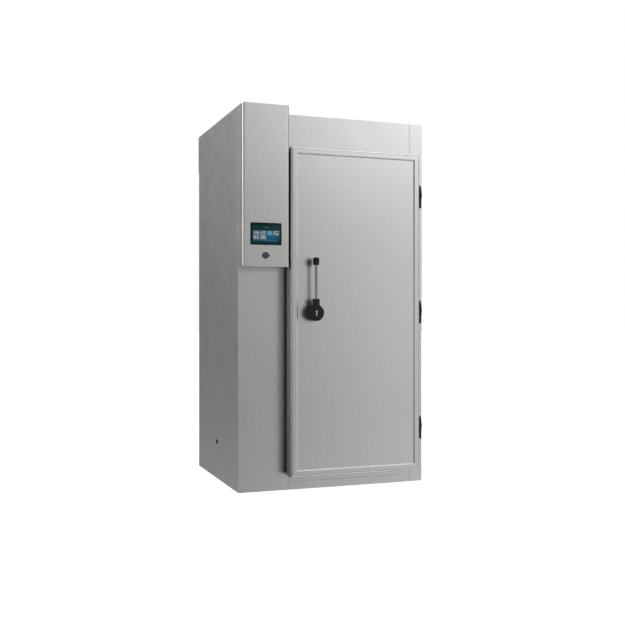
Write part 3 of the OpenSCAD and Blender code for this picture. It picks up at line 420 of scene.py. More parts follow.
FINISH_OF = {
    "left_wall": steel_upright, "right_wall": steel_upright, "rear_wall": steel_upright,
    "header_panel": steel_upright, "roof_panel": steel_flat, "floor_base": steel_flat,
    "floor_panel": steel_flat, "roof_trunk": steel_flat, "rear_cover": steel_upright,
    "door_sill": steel_flat, "door_liner": steel_inner, "door_core": foam,
    "suction_pipe": copper, "liquid_pipe": copper, "evaporator_tubes": copper,
    "cable_gland": black_plastic, "frame_sides": black_frame, "frame_top": black_frame,
    "latch_keeper": steel_parts, "hinge_pins": steel_parts, "display_module": grey_plastic,
    "control_board": board_green, "power_terminals": grey_plastic,
    "drain_outlet": black_rubber, "drain_pipe": white_plastic, "drip_tray": steel_inner,
    "evaporator_fins": fin_metal, "expansion_valve": brass, "air_strips": steel_inner,
    "fan_panel_hinges": steel_parts, "right_bumpers": white_plastic,
    "rear_bumpers": white_plastic, "probe_socket": black_plastic,
    "cam_lock_caps": white_plastic, "pressure_valve": white_plastic,
    "door_gasket": black_rubber, "spindle": steel_parts, "latch_arm": steel_parts,
    "latch_roller": white_plastic, "lock_plug": satin_nickel, "fan_panel": steel_inner,
    "fan_motors": black_plastic, "door_shell": steel_door, "control_housing": steel_upright,
    "touch_screen": black_plastic, "usb_socket": black_plastic, "hinge_brackets": black_plastic,
    "hinge_leaves": black_plastic, "handle_rose": black_plastic, "handle_hub": black_plastic,
    "lever_rod": smoked_chrome, "grip_cap": black_grip, "release_knob": glow_plastic,
    "lock_cylinder": satin_nickel, "fan_guards": chrome, "fan_rotor_1": black_plastic,
    "fan_rotor_2": black_plastic, "fan_rotor_3": black_plastic, "usb_cap": grey_rubber,
}


def wear_finish(thing, material):
    """Puts one material in every slot of an object."""
    thing.data.materials.clear()
    thing.data.materials.append(material)
    return thing


for node_name, node_object in nodes.items():
    wear_finish(node_object, FINISH_OF[node_name])
print("finishes given to", len(nodes), "nodes")

# %% [markdown]
# ## The door skin
#
# The outer skin is one deep-drawn tray. Its section goes up the side, round the edge on a
# 12 mm radius, across the flat rim and down a short slope to the sunk panel. Carrying that
# section round the door's outline gives the whole tray with its mitred corners. The inner
# side is the same section one sheet thickness further in. A flat stretch has one more point
# HOLD away from each bend, so that the shading of the bend stops there.

# %% Door skin
SHEET = 1.5 * MM
RIM = 36 * MM
RIM_RADIUS = 12 * MM
SLOPE = 7 * MM
SUNK = 2.6 * MM
FOLD = 1.0 * MM
HOLD = 0.8 * MM

door_low, door_high = node_box("door_shell")
door_front, door_back = door_low[1], door_high[1]
panel_y = door_front + SUNK
spindle_low, spindle_high = node_box("spindle")
axis_x = (spindle_low[0] + spindle_high[0]) / 2
axis_z = (spindle_low[2] + spindle_high[2]) / 2


def door_section(offset):
    """(inset, y) from the back edge to the sunk panel, moved inwards by offset."""
    edge = arc(RIM_RADIUS, door_front + RIM_RADIUS, RIM_RADIUS - offset, 180, 270, 12)
    rim_y, sunk_y = door_front + offset, panel_y + offset
    return np.concatenate([
        [[offset, door_back], [offset, door_front + RIM_RADIUS + HOLD]], edge,
        [[RIM_RADIUS + HOLD, rim_y], [RIM - FOLD - HOLD, rim_y], [RIM - FOLD, rim_y],
         [RIM, rim_y + 0.25 * FOLD], [RIM + SLOPE - FOLD, sunk_y - 0.3 * FOLD],
         [RIM + SLOPE, sunk_y], [RIM + SLOPE + HOLD, sunk_y], [RIM + SLOPE + 3 * HOLD, sunk_y]],
    ])


def carry_round(section, low, high, corner=3 * MM):
    """Carries (inset, y) points round the rectangle low..high; corners shrink with the inset."""
    rings = []
    for inset, y in section:
        outline = rounded_rectangle(low[0] + inset, high[0] - inset, low[2] + inset,
                                    high[2] - inset, max(corner - inset, 0.15 * MM), 4)
        rings.append(np.insert(outline, 1, y, axis=1))
    return np.stack(rings)


door_tray = Shape()
door_rings = np.concatenate([
    carry_round(door_section(0.0), door_low, door_high),
    carry_round(door_section(SHEET)[::-1], door_low, door_high),
])
ring_size = door_rings.shape[1]
rows = len(door_rings)
tray_faces = grid_faces(rows, ring_size, True, True).reshape(rows, ring_size, 4)
half = rows // 2
keep = [row for row in range(rows) if row != half - 1]
tray_faces = tray_faces[keep].reshape(-1, 4)
sunk_ring = np.arange((half - 1) * ring_size, half * ring_size)
door_tray.add(door_rings, tray_faces, caps=[sunk_ring, sunk_ring + ring_size])
spindle_hole = Shape().tube(spin([(8, -12), (8, 40)], (axis_x, panel_y, axis_z), (0, 1, 0), 48))
door_skin = piece("door_skin", door_tray, "door", ["door_shell"],
                  cuts=[solid("hole", spindle_hole)])
wear_finish(door_skin, steel_door)
print("door skin", len(door_skin.data.polygons), "faces")

# %% [markdown]
# ## The control housing
#
# The housing is a folded sheet box, open against the column. Both upright front edges have
# a 10 mm radius, which is what draws the bright line down its left side. The screen and the
# data port sit in cut-outs.

# %% Control housing
HOUSING_RADIUS = 10 * MM
box_low, box_high = node_box("control_housing")
glass_low, glass_high = node_box("touch_screen")
port_low, port_high = node_box("usb_socket")
port_z = (port_low[2] + port_high[2]) / 2
port_r = (port_high[2] - port_low[2]) / 2
port_x = port_high[0] - port_r


def front_rounded(x0, x1, y0, y1, radius, steps=12):
    """Plan of a box whose two front corners are rounded; y0 is the front."""
    return np.concatenate([
        [[x1, y1], [x0, y1], [x0, y0 + radius + HOLD]],
        arc(x0 + radius, y0 + radius, radius, 180, 270, steps),
        [[x0 + radius + HOLD, y0], [x1 - radius - HOLD, y0]],
        arc(x1 - radius, y0 + radius, radius, 270, 360, steps),
        [[x1, y0 + radius + HOLD]],
    ])


def prism(plan, z0, z1):
    """A closed plan outline drawn up from z0 to z1."""
    return Shape().tube(np.stack([np.insert(plan, 2, z, axis=1) for z in (z0, z1)]))


def plate(outline, y0, y1):
    """A closed outline in x and z, drawn back from y0 to y1."""
    return Shape().tube(np.stack([np.insert(outline, 1, y, axis=1) for y in (y0, y1)]))


GLASS_CORNER = 6 * MM
GLASS_GAP = 0.3 * MM
hollow = prism(front_rounded(box_low[0] + SHEET, box_high[0] - SHEET, box_low[1] + SHEET,
                             box_high[1] + SHEET, HOUSING_RADIUS - SHEET),
               box_low[2] + SHEET, box_high[2] - SHEET)
window = plate(rounded_rectangle(glass_low[0] - GLASS_GAP, glass_high[0] + GLASS_GAP,
                                 glass_low[2] - GLASS_GAP, glass_high[2] + GLASS_GAP,
                                 GLASS_CORNER), box_low[1] - 5 * MM, box_low[1] + 5 * MM)
port_hole = Shape().tube(spin([(14, -10), (14, 20)], (port_x, box_low[1], port_z), (0, 1, 0)))
housing_skin = piece(
    "housing_skin",
    prism(front_rounded(box_low[0], box_high[0], box_low[1], box_high[1], HOUSING_RADIUS),
          box_low[2], box_high[2]),
    "cabinet", ["control_housing"],
    cuts=[solid("hollow", hollow), solid("window", window), solid("port_hole", port_hole)],
)
wear_finish(housing_skin, steel_upright)
print("housing skin", len(housing_skin.data.polygons), "faces")

# %% [markdown]
# ## The touch screen
#
# A sheet of dark glass with a lit display behind it. The pictures on it are plain tiles: a
# soft teal ground that glows blue towards the middle right, four tiles in one row and two in
# the next. Masks made of comparisons draw them, so they stay sharp at any distance.


# %% Screen glass
def display_finish():
    glass = Finish("display_glass", roughness=0.12, specular_ior_level=0.08)
    centre = (glass_low + glass_high) / 2
    width, height = glass_high[0] - glass_low[0], glass_high[2] - glass_low[2]
    where = glass.place(location=tuple(-centre))
    across = glass.node("ShaderNodeSeparateXYZ", {}, where, out="X") / width
    up = glass.node("ShaderNodeSeparateXYZ", {}, where, out="Z") / height

    def within(value, middle, half):
        """1 where value lies within half of the middle."""
        return (value - middle).math("ABSOLUTE") < half

    def tile(x, z, half_x=0.098, half_z=0.092):
        """A rectangle on the display, in shares of its width and height."""
        return within(across, x, half_x) * within(up, z, half_z)

    lit = within(across, 0.0, 0.455) * within(up, 0.0, 0.44)
    far = (across - 0.12) * (across - 0.12) * 7.0 + (up + 0.13) * (up + 0.13) * 14.0
    glow = (1.0 - far).math("MAXIMUM", 0.0)
    first, second, third, fourth = -0.315, -0.09, 0.12, 0.325
    upper, lower = 0.045, -0.155
    photos = tile(first, upper) + tile(second, upper) + tile(fourth, upper)
    photos = photos + tile(first, lower) + tile(second, lower)
    blue = tile(third, upper, 0.08)
    title = within(across, 0.0, 0.10) * within(up, 0.29, 0.012)
    corner = within(across, -0.35, 0.02) * within(up, 0.32, 0.018)
    foot = within(across, 0.0, 0.40) * within(up, -0.30, 0.03)
    blobs = glass.noise(130.0, 2.0, 0.6)
    picture = glass.mix((blobs * 3.0 - 1.3).math("MAXIMUM", 0.0).math("MINIMUM", 1.0),
                        (0.08, 0.09, 0.12), (0.50, 0.60, 0.68))
    ground = glass.mix(glow, (0.002, 0.017, 0.018), (0.008, 0.085, 0.16))
    coloured = glass.mix(blue, ground, (0.06, 0.25, 0.36))
    tiled = glass.mix(photos, coloured, picture)
    lined = glass.mix(title * 0.4 + corner * 0.2 + foot * 0.16, tiled, (0.15, 0.34, 0.38))
    shown = glass.mix(lit, (0.0, 0.004, 0.005), lined)
    glass.shader.inputs["Emission Strength"].default_value = 1.0
    return glass.wear(base_color=glass.mix(lit, (0.004, 0.006, 0.007), (0.002, 0.008, 0.010)),
                      emission_color=shown)


GLASS_EDGE = 0.7 * MM
glass_section = [(GLASS_EDGE, glass_low[1]), (0.3 * GLASS_EDGE, glass_low[1] + 0.3 * GLASS_EDGE),
                 (0.0, glass_low[1] + GLASS_EDGE), (0.0, glass_high[1])]
glass_rings = np.stack([
    np.insert(rounded_rectangle(glass_low[0] + i, glass_high[0] - i, glass_low[2] + i,
                                glass_high[2] - i, GLASS_CORNER - i), 1, y, axis=1)
    for i, y in glass_section
])
screen_glass = piece("screen_glass", Shape().tube(glass_rings), "cabinet", ["touch_screen"])
wear_finish(screen_glass, display_finish())

# %% [markdown]
# ## Turned pieces, rings and screws
#
# Most of the small hardware is turned or moulded round. A profile needs only the points a
# maker would dimension; a curve through them gives the soft shoulders. A screw head is one
# more profile, with a socket sunk in its middle, so it can be repeated wherever a plate is
# fixed.


# %% Turning helpers
def through(points, steps=6):
    """Catmull-Rom curve: p = half of (2b + (c-a)t + (2a-5b+4c-d)tt + (3b-a-3c+d)ttt)."""
    p = np.asarray(points, float)
    p = np.concatenate([2 * p[:1] - p[1:2], p, 2 * p[-1:] - p[-2:-1]])
    t = np.linspace(0, 1, steps, endpoint=False)[:, None]
    a, b, c, d = (p[i:len(p) - 3 + i, None, :] for i in range(4))
    curve = 0.5 * (2 * b + (c - a) * t + (2 * a - 5 * b + 4 * c - d) * t * t
                   + (3 * b - a - 3 * c + d) * t ** 3)
    return np.concatenate([curve.reshape(-1, 2), p[-2:-1]])


def turned(shape, profile, centre, axis, steps=64, ring=False):
    """Adds a turned solid; a ring profile is a closed loop that stays off the axis."""
    return shape.tube(spin(profile, centre, axis, steps), wrap_rows=ring)


def hoop(shape, centre, axis, radius, wire, steps=96, sides=8):
    """Adds a wire ring: (radius + wire cos v, wire sin v) turned about the axis; in mm."""
    v = np.linspace(0, 2 * np.pi, sides, endpoint=False)
    profile = np.stack([radius + wire * np.cos(v), wire * np.sin(v)], -1)
    return turned(shape, profile, centre, axis, steps, ring=True)


def wire_rod(shape, start, end, wire, sides=10):
    """Adds a straight round rod between two points, wire is its radius in mm."""
    start, end = Vector(start), Vector(end)
    length = (end - start).length / MM
    profile = [(wire - 0.2 * wire, 0), (wire, 0.2 * wire), (wire, length - 0.2 * wire),
               (wire - 0.2 * wire, length)]
    return turned(shape, profile, tuple(start), end - start, sides)


def screw_head(shape, place, axis, radius=4.0):
    """Adds a low round head with a socket; it stands half its radius proud."""
    r = radius
    dome = arc(0, -0.6 * r, 1.15 * r, 30, 63, 4)
    profile = np.concatenate([[[r, -0.2]], dome, [[0.45 * r, 0.36 * r], [0.42 * r, 0.1 * r],
                                                  [0.0, 0.1 * r]]])
    return turned(shape, profile, place, axis, 20)


def soft_box(shape, low, high, radius, axis=1, steps=3):
    """Adds a box with rounded edges: rounded rectangles that shrink at both ends."""
    low, high = np.asarray(low, float), np.asarray(high, float)
    a = np.linspace(0, np.pi / 2, steps + 1)
    inset = radius * (1 - np.sin(a))
    depth = radius * (1 - np.cos(a))
    along = np.concatenate([low[axis] + depth, high[axis] - depth[::-1]])
    insets = np.concatenate([inset, inset[::-1]])
    u, v = [k for k in range(3) if k != axis]
    rings = []
    for value, i in zip(along, insets):
        outline = rounded_rectangle(low[u] + i, high[u] - i, low[v] + i, high[v] - i,
                                    max(radius - i, 0.1 * radius), 3)
        ring = np.empty((len(outline), 3))
        ring[:, u], ring[:, v], ring[:, axis] = outline[:, 0], outline[:, 1], value
        rings.append(ring)
    return shape.tube(np.stack(rings))


# %% [markdown]
# ## The lever handle
#
# The handle is a black moulded hub on a fixed rose, with a flat neck that holds a bright
# rod and a black grip at its end. The neck flows into the hub with a concave fillet: its
# half width grows as exp(-h) towards the hub. Hub and neck are joined by a boolean, and the
# pocket for the key cylinder is cut into them.

# %% Handle
hub_low, hub_high = node_box("handle_hub")
rod_low, rod_high = node_box("lever_rod")
grip_low, grip_high = node_box("grip_cap")
HUB_R = (hub_high[0] - hub_low[0]) / 2 / MM
hub_x = (hub_low[0] + hub_high[0]) / 2
hub_z = hub_low[2] + HUB_R * MM
hub_deep = (hub_high[1] - hub_low[1]) / MM
rod_x, rod_y = (rod_low[:2] + rod_high[:2]) / 2
FORWARD = (0, -1, 0)
UPWARD = (0, 0, 1)
NECK_HALF = 20.5
NECK_THICK = 18.0
KEY_UP, KEY_R, KEY_TAIL, KEY_TAIL_HALF, KEY_GAP = 9.0, 6.0, 16.5, 3.4, 0.3

hub_shape = Shape()
turned(hub_shape, np.concatenate([
    [[0, 0]], arc(HUB_R - 2, 2, 2, -90, 0, 4), arc(HUB_R - 5, hub_deep - 5, 5, 0, 90, 8),
    [[HUB_R - 8.5, hub_deep], [HUB_R - 8.9, hub_deep - 0.6], [HUB_R - 9.9, hub_deep - 0.6],
     [HUB_R - 10.3, hub_deep], [0, hub_deep]],
]), (hub_x, hub_high[1], hub_z), FORWARD, 128)


def neck_rings(top, flare_from=40.0, round_edge=3.0):
    """Rings (x, y) up the neck: half width = 19 + 1.5 s + 6 exp(-(h - 40) / 4), s = 0..1."""
    h = np.concatenate([[34.0], np.linspace(flare_from, top - round_edge, 14)])
    turn = np.linspace(0, np.pi / 2, 6)[1:]
    h = np.concatenate([h, top - round_edge + round_edge * np.sin(turn)])
    inset = np.concatenate([np.zeros(15), round_edge * (1 - np.cos(turn))])
    half = NECK_HALF - 1.5 * (top - h) / top + 6 * np.exp(-np.clip(h - flare_from, 0, None) / 4)
    rings = []
    for height, width, i in zip(h, half - inset, inset):
        outline = rounded_rectangle(-width, width, -NECK_THICK / 2 + i, NECK_THICK / 2 - i,
                                    round_edge - 0.9 * i, 4)
        rings.append(np.insert(outline, 2, height, axis=1))
    return np.stack(rings) * MM + np.array([hub_x, rod_y, hub_z])


def key_outline(grow):
    """Round head over a narrow tail, as points in x and z, in metres."""
    r, w = KEY_R + grow, KEY_TAIL_HALF + grow
    lean = math.degrees(math.acos(w / r))
    head = arc(0, KEY_UP, r, -lean, 180 + lean, 24)
    tail = arc(0, -KEY_TAIL + w - grow, w, 180, 360, 8)
    return np.concatenate([head, tail]) * MM + np.array([hub_x, hub_z])


neck = solid("neck", Shape().tube(neck_rings((hub_high[2] - hub_z) / MM)))
pocket = solid("pocket", plate(key_outline(KEY_GAP), hub_low[1] - 5 * MM, hub_low[1] + 29 * MM))
hub_piece = piece("lever_hub", hub_shape, "handle", ["handle_hub"], joins=[neck], cuts=[pocket])
wear_finish(hub_piece, black_plastic)

rod_piece = piece("lever_bar", wire_rod(Shape(), (rod_x, rod_y, rod_low[2]),
                                        (rod_x, rod_y, rod_high[2]),
                                        (rod_high[0] - rod_low[0]) / 2 / MM, 48),
                  "handle", ["lever_rod"])
wear_finish(rod_piece, smoked_chrome)

GRIP_R = (grip_high[0] - grip_low[0]) / 2 / MM
grip_l = (grip_high[2] - grip_low[2]) / MM
grip_side = through([(GRIP_R - 3.4, 0.0), (GRIP_R - 2.4, 0.4), (GRIP_R - 2.0, 1.4),
                     (GRIP_R - 1.1, grip_l * 0.30), (GRIP_R - 0.3, grip_l * 0.62),
                     (GRIP_R, grip_l * 0.72), (GRIP_R - 0.8, grip_l * 0.83),
                     (GRIP_R - 3.5, grip_l * 0.925), (GRIP_R - 8, grip_l * 0.985),
                     (0.6, grip_l)], 5)
grip_side[:, 0] = np.clip(grip_side[:, 0], 0.0, GRIP_R)
grip_piece = piece(
    "lever_grip",
    turned(Shape(), np.concatenate([[[0.0, 0.0]], grip_side, [[0.0, grip_l]]]),
           (rod_x, rod_y, grip_low[2]), UPWARD, 96),
    "handle", ["grip_cap"])
wear_finish(grip_piece, black_grip)

SPINDLE_BORE = 7.05
ROSE_THICK = 20.0
rose_profile = np.concatenate([
    [[SPINDLE_BORE, 0.3], [HUB_R - 0.6, 0.3], [HUB_R, 0.9]],
    arc(HUB_R - 3, ROSE_THICK - 3, 3, 0, 90, 6), [[SPINDLE_BORE, ROSE_THICK]]])
bush_profile = [(SPINDLE_BORE, 0.3), (19.0, 0.3), (19.0, 6.5), (18.2, 8.2), (16.5, 9.0),
                (SPINDLE_BORE, 9.0)]
rose_shape = Shape()
turned(rose_shape, rose_profile, (hub_x, panel_y, hub_z), FORWARD, 128, ring=True)
turned(rose_shape, bush_profile, (hub_x, door_back, hub_z), (0, 1, 0), 64, ring=True)
rose_piece = piece("fixed_rose", rose_shape, "door", ["handle_rose"])
wear_finish(rose_piece, black_plastic)

knob_low = node_box("release_knob")[0]
knob_piece = piece(
    "inner_knob",
    turned(Shape(), np.concatenate([
        [[0, 0], [9, 0]], through([(9, 1), (9.4, 9), (13, 12.6), (22, 14.4), (25.6, 18),
                                   (26, 24), (25, 30), (20.5, 33.6), (10, 35.6), (0.5, 36)], 5),
        [[0, 36]]]), (hub_x, knob_low[1], hub_z), (0, 1, 0), 72),
    "handle", ["release_knob"])
wear_finish(knob_piece, glow_plastic)
print("handle pieces made, hub radius", round(HUB_R, 1), "mm")

# %% [markdown]
# ## The door hinges
#
# Each hinge has a bowed black barrel on the door and a slimmer one on the cabinet, split at
# mid height with a small relief on both sides. The fixed half carries an arm back to a
# plate with two screws. Three equal hinges are one shape added three times.

# %% Hinges
leaf_low, leaf_high = node_box("hinge_leaves")
plate_high = node_box("hinge_brackets")[1]
pin_low, pin_high = node_box("hinge_pins")
HINGE_H = 142.0
SPLIT = 0.15
LEAF_THICK = 3.5 * MM
PLATE_THICK = 7.7 * MM
PLATE_GAP = 0.3 * MM
LUG_DROP = 4 * MM
half_h = HINGE_H / 2
hinge_x, hinge_y = (pin_low[:2] + pin_high[:2]) / 2
first_z, last_z = leaf_low[2] - SPLIT * MM, leaf_high[2] - half_h * MM
hinge_zs = np.linspace(first_z, last_z, 3)
plate_back = node_box("right_wall")[0][1] - PLATE_GAP
plate_front = plate_back - PLATE_THICK

door_side = through([(12.4, SPLIT), (13.6, 1.1), (14.0, 3.0), (13.8, 0.18 * half_h),
                     (12.6, 0.41 * half_h), (10.8, 0.62 * half_h), (8.6, 0.80 * half_h),
                     (6.6, 0.92 * half_h), (5.2, 0.975 * half_h), (4.0, half_h)], 4)
fixed_side = through([(11.4, SPLIT), (12.6, 1.1), (13.0, 3.0), (13.0, 12.0), (12.2, 14.4),
                      (10.7, 16.0), (10.5, 20.0), (10.5, 0.86 * half_h), (9.2, 0.93 * half_h),
                      (6.4, 0.975 * half_h), (2.8, half_h)], 4)
leaf_shape, bracket_shape, plate_screws, leaf_screws = Shape(), Shape(), Shape(), Shape()
for z in hinge_zs:
    turned(leaf_shape, np.concatenate([[[0, SPLIT]], door_side, [[0, half_h]]]),
           (hinge_x, hinge_y, z), UPWARD, 72)
    soft_box(leaf_shape, (door_high[0] + 0.01 * MM, door_front + 16 * MM, z + SPLIT * MM),
             (door_high[0] + LEAF_THICK, door_back - 6 * MM, z + (half_h - 6) * MM), 1.2 * MM, 0)
    soft_box(leaf_shape, (door_high[0] + MM, hinge_y - 5 * MM, z + SPLIT * MM),
             (hinge_x, hinge_y + 5 * MM, z + (half_h - 10) * MM), 1.0 * MM, 0)
    turned(bracket_shape, np.concatenate([[[0, SPLIT]], fixed_side, [[0, half_h]]]),
           (hinge_x, hinge_y, z), (0, 0, -1), 72)
    soft_box(bracket_shape, (hinge_x - 8 * MM, hinge_y, z - (half_h - 22) * MM),
             (hinge_x + 10 * MM, plate_back, z - LUG_DROP), 2.5 * MM, 1)
    soft_box(bracket_shape, (hinge_x - 12 * MM, plate_front, z - (half_h - 4) * MM),
             (plate_high[0], plate_back, z - LUG_DROP), 2.0 * MM, 1)
    for drop in (half_h - 16, 16):
        screw_head(plate_screws, (hinge_x + 20 * MM, plate_front, z - drop * MM), FORWARD, 4.2)
    for rise in (14, half_h - 20):
        screw_head(leaf_screws, (door_high[0] + LEAF_THICK, hinge_y + 22 * MM, z + rise * MM),
                   (1, 0, 0), 3.6)
wear_finish(piece("hinge_door_halves", leaf_shape, "door", ["hinge_leaves"]), black_plastic)
wear_finish(piece("hinge_fixed_halves", bracket_shape, "cabinet", ["hinge_brackets"]),
            black_plastic)
wear_finish(piece("hinge_plate_screws", plate_screws, "cabinet"), steel_parts)
wear_finish(piece("hinge_leaf_screws", leaf_screws, "door"), steel_parts)
print("hinges at", [round(float(z), 3) for z in hinge_zs])

# %% [markdown]
# ## The data port
#
# The port is a black flanged socket with a lip that the rubber cap snaps into. The cap is a
# shallow disc with a plug behind it, a strap with an eye on the left and a finger tab on
# the right. Disc and plug are turned; strap and tab are soft-edged plates.

# %% Data port
PORT_R = port_r / MM
FLANGE = 2.0
port_front = box_low[1]
socket_shape = Shape()
turned(socket_shape, np.concatenate([
    [[0, -26], [PORT_R - 3.3, -26], [PORT_R - 3.3, 0], [PORT_R + FLANGE, 0]],
    arc(PORT_R + FLANGE - 1.2, 2.8, 1.2, 0, 90, 4),
    [[PORT_R - 3.0, 4], [PORT_R - 3.5, 3.5], [PORT_R - 3.6, 0.8], [0, 0.8]],
]), (port_x, port_front, port_z), FORWARD, 96)
EYE_HALF, EYE_TALL, EYE_SPAN = 2.6 * MM, 3.8 * MM, 9 * MM
eye_x, eye_y = port_x - port_r, port_front - 6.9 * MM
for z in (port_z - EYE_SPAN, port_z + EYE_SPAN - EYE_TALL):
    soft_box(socket_shape, (eye_x - EYE_HALF, eye_y, z),
             (eye_x + EYE_HALF, port_front, z + EYE_TALL), 0.4 * MM, 2, 2)
    wire_rod(socket_shape, (eye_x, eye_y, z), (eye_x, eye_y, z + EYE_TALL), EYE_HALF / MM, 24)
wire_rod(socket_shape, (eye_x, eye_y, port_z - EYE_SPAN), (eye_x, eye_y, port_z + EYE_SPAN),
         1.5, 16)
slot = solid("slot", box_into(Shape(), (port_x - 6.5 * MM, port_front - 3 * MM, port_z - 3 * MM),
                             (port_x + 6.5 * MM, port_front + 16 * MM, port_z + 3 * MM)))
socket_piece = piece("port_socket", socket_shape, "cabinet", ["usb_socket"], cuts=[slot])
wear_finish(socket_piece, black_plastic)

CAP_R = PORT_R - 4.5
CAP_OUT, STRAP_THICK, STRAP_HALF = 4.3 * MM, 2.2 * MM, 4.8 * MM
cap_shape = Shape()
turned(cap_shape, np.concatenate([
    [[0, -2.7], [CAP_R - 0.8, -2.7], [CAP_R, -1.9], [CAP_R, 0], [CAP_R + 2, 0]],
    arc(CAP_R + 1.2, 1.4, 0.8, 0, 90, 4),
    [[CAP_R - 1.2, 2.2], [CAP_R - 2.2, 1.7], [CAP_R - 3.4, 1.7], [CAP_R - 4.4, 2.1], [0, 2.2]],
]), (port_x, port_front - CAP_OUT, port_z), FORWARD, 96)
tab_low, tab_high = port_front - CAP_OUT - STRAP_THICK, port_front - CAP_OUT
soft_box(cap_shape, (port_x + 8 * MM, tab_low, port_z - 3.4 * MM),
         (port_x + port_r + 9 * MM, tab_high, port_z + 3.4 * MM), 1.0 * MM, 1)
soft_box(cap_shape, (eye_x, tab_low, port_z - STRAP_HALF),
         (port_x - 8 * MM, tab_high, port_z + STRAP_HALF), 0.6 * MM, 1)
turned(cap_shape, [(1.55, 0), (2.5, 0), (2.6, 0.4), (2.6, 9.2), (2.5, 9.6), (1.55, 9.6)],
       (eye_x, eye_y, port_z - STRAP_HALF), UPWARD, 32, ring=True)
cap_piece = piece("port_cap", cap_shape, "port_cap", ["usb_cap"])
wear_finish(cap_piece, grey_rubber)
print("port radius", round(PORT_R, 1), "mm")

# %% [markdown]
# ## Sealed joints
#
# The panels of such a cabin are locked side by side, and every joint that shows is filled
# with a grey bead of sealant. The bead is a shallow lens on the sheet: its section is the
# arc of a circle, so it catches a thin line of light along its length.

# %% Sealed joints
BEAD_HALF = 1.5
BEAD_PROUD = 0.5
header_low, header_high = node_box("header_panel")
base_high = node_box("floor_base")[1]
step_low, step_high = node_box("floor_panel")
front_y = header_low[1]


def bead(shape, start, end):
    """Adds a lens-shaped bead on the front face, from start to end in x and z."""
    start, end = np.array([start[0], 0, start[1]]), np.array([end[0], 0, end[1]])
    along = (end - start) / np.linalg.norm(end - start)
    side = np.array([along[2], 0, -along[0]])
    t = np.linspace(-1, 1, 7)
    section = [(BEAD_HALF * v, -BEAD_PROUD * (1 - v * v)) for v in t] + [(0.0, 0.6)]
    ring = np.array([side * u * MM + np.array([0, front_y + y * MM, 0]) for u, y in section])
    return shape.tube(np.stack([start + ring, end + ring]))


seams = Shape()
left_x, right_x = header_low[0] - 0.25 * MM, header_high[0] + 0.25 * MM
base_top = (base_high[2] + step_low[2]) / 2
for x in (left_x, right_x):
    bead(seams, (x, header_low[2]), (x, header_high[2]))
    bead(seams, (x, 0.5 * MM), (x, step_high[2]))
bead(seams, (left_x + BEAD_HALF * MM, base_top), (right_x - BEAD_HALF * MM, base_top))
wear_finish(piece("sealed_joints", seams, "cabinet", sharp=40), sealant)
print("beads at x", round(float(left_x), 4), round(float(right_x), 4))

# %% [markdown]
# ## Fans, guards and motors
#
# A blade is a surface of two parameters. With s along the radius and c along the chord, the
# point lies at radius r(s), and the chord line is pitched about the radius by an angle that
# falls towards the tip, as the tip moves faster. Camber is a sine over the chord and the
# thickness follows sqrt(c)(1 - c). The guard is a set of wire rings on three bars, and the
# motor has cooling ribs and four arms that carry it in the bell mouth.

# %% Fans
BLADES = 5
FAN_SPACING = 620 * MM
fan_panel_low, fan_panel_high = node_box("fan_panel")
panel_x = node_box("air_strips")[1][0]
hub_front_x = panel_x - 9 * MM
fan_levels = (fan_panel_low[2] + fan_panel_high[2]) / 2 + FAN_SPACING * np.array([-1, 0, 1])
fan_centres = [(hub_front_x, 0.0, float(level)) for level in fan_levels]
FAN_HUB_R, FAN_HUB_L, FAN_R = 58.0, 28.0, 203.5
ROOT_PITCH, TIP_PITCH, CAMBER = 34.0, 24.0, 0.08
BLADE_DEPTH = 17.5


def blade(turn, stations=13, chord_points=15):
    """Closed blade surface over span s and chord c, both 0 to 1, with its root in the hub."""
    s = np.linspace(0, 1, stations)
    around = np.linspace(0, 2 * np.pi, 2 * chord_points, endpoint=False)
    c = 0.5 - 0.5 * np.cos(around)
    side = np.sign(np.sin(around))
    radius = FAN_HUB_R - 5 + (FAN_R - 1.5 - FAN_HUB_R + 5) * s
    length = FAN_R * (0.46 + 0.20 * s ** 0.8) * (1 - 0.16 * s ** 8)
    pitch = np.radians(ROOT_PITCH + (TIP_PITCH - ROOT_PITCH) * s)
    camber = CAMBER * np.sin(np.pi * c)
    thick = 0.045 * np.sqrt(c) * (1 - c) + 0.004 * np.sin(np.pi * c)
    lift = camber[None] + side[None] * thick[None] * (1 - 0.5 * s[:, None])
    u = (c[None] - 0.5) * length[:, None]
    v = lift * length[:, None]
    across = u * np.cos(pitch)[:, None] - v * np.sin(pitch)[:, None]
    axial = u * np.sin(pitch)[:, None] + v * np.cos(pitch)[:, None]
    angle = turn + across / (radius[:, None] * 0.5 + FAN_R * 0.5)
    axial = np.clip(axial, -BLADE_DEPTH, BLADE_DEPTH)
    return np.stack([axial - FAN_HUB_L / 2 - 1, radius[:, None] * np.cos(angle),
                     radius[:, None] * np.sin(angle)], -1) * MM


def fan_shape(centre):
    """Hub with a soft nose and its blades, on an axis along X."""
    shape = Shape()
    turned(shape, np.concatenate([
        [[0, -FAN_HUB_L]], [[FAN_HUB_R - 2, -FAN_HUB_L], [FAN_HUB_R, -FAN_HUB_L + 3]],
        arc(FAN_HUB_R - 7, -7, 7, 0, 90, 6),
        [[FAN_HUB_R * 0.62, 0], [FAN_HUB_R * 0.58, -1.6], [FAN_HUB_R * 0.3, -1.6],
         [FAN_HUB_R * 0.26, 0], [0, 0]],
    ]), centre, (1, 0, 0), 96)
    for k in range(BLADES):
        shape.tube(blade(2 * np.pi * k / BLADES) + np.array(centre))
    return shape


for number, centre in enumerate(fan_centres, 1):
    fan = piece("fan_wheel_%d" % number, fan_shape(centre), "fan_%d" % number,
                ["fan_rotor_%d" % number], sharp=40)
    wear_finish(fan, black_plastic)
print("fan levels", [round(c[2], 3) for c in fan_centres])

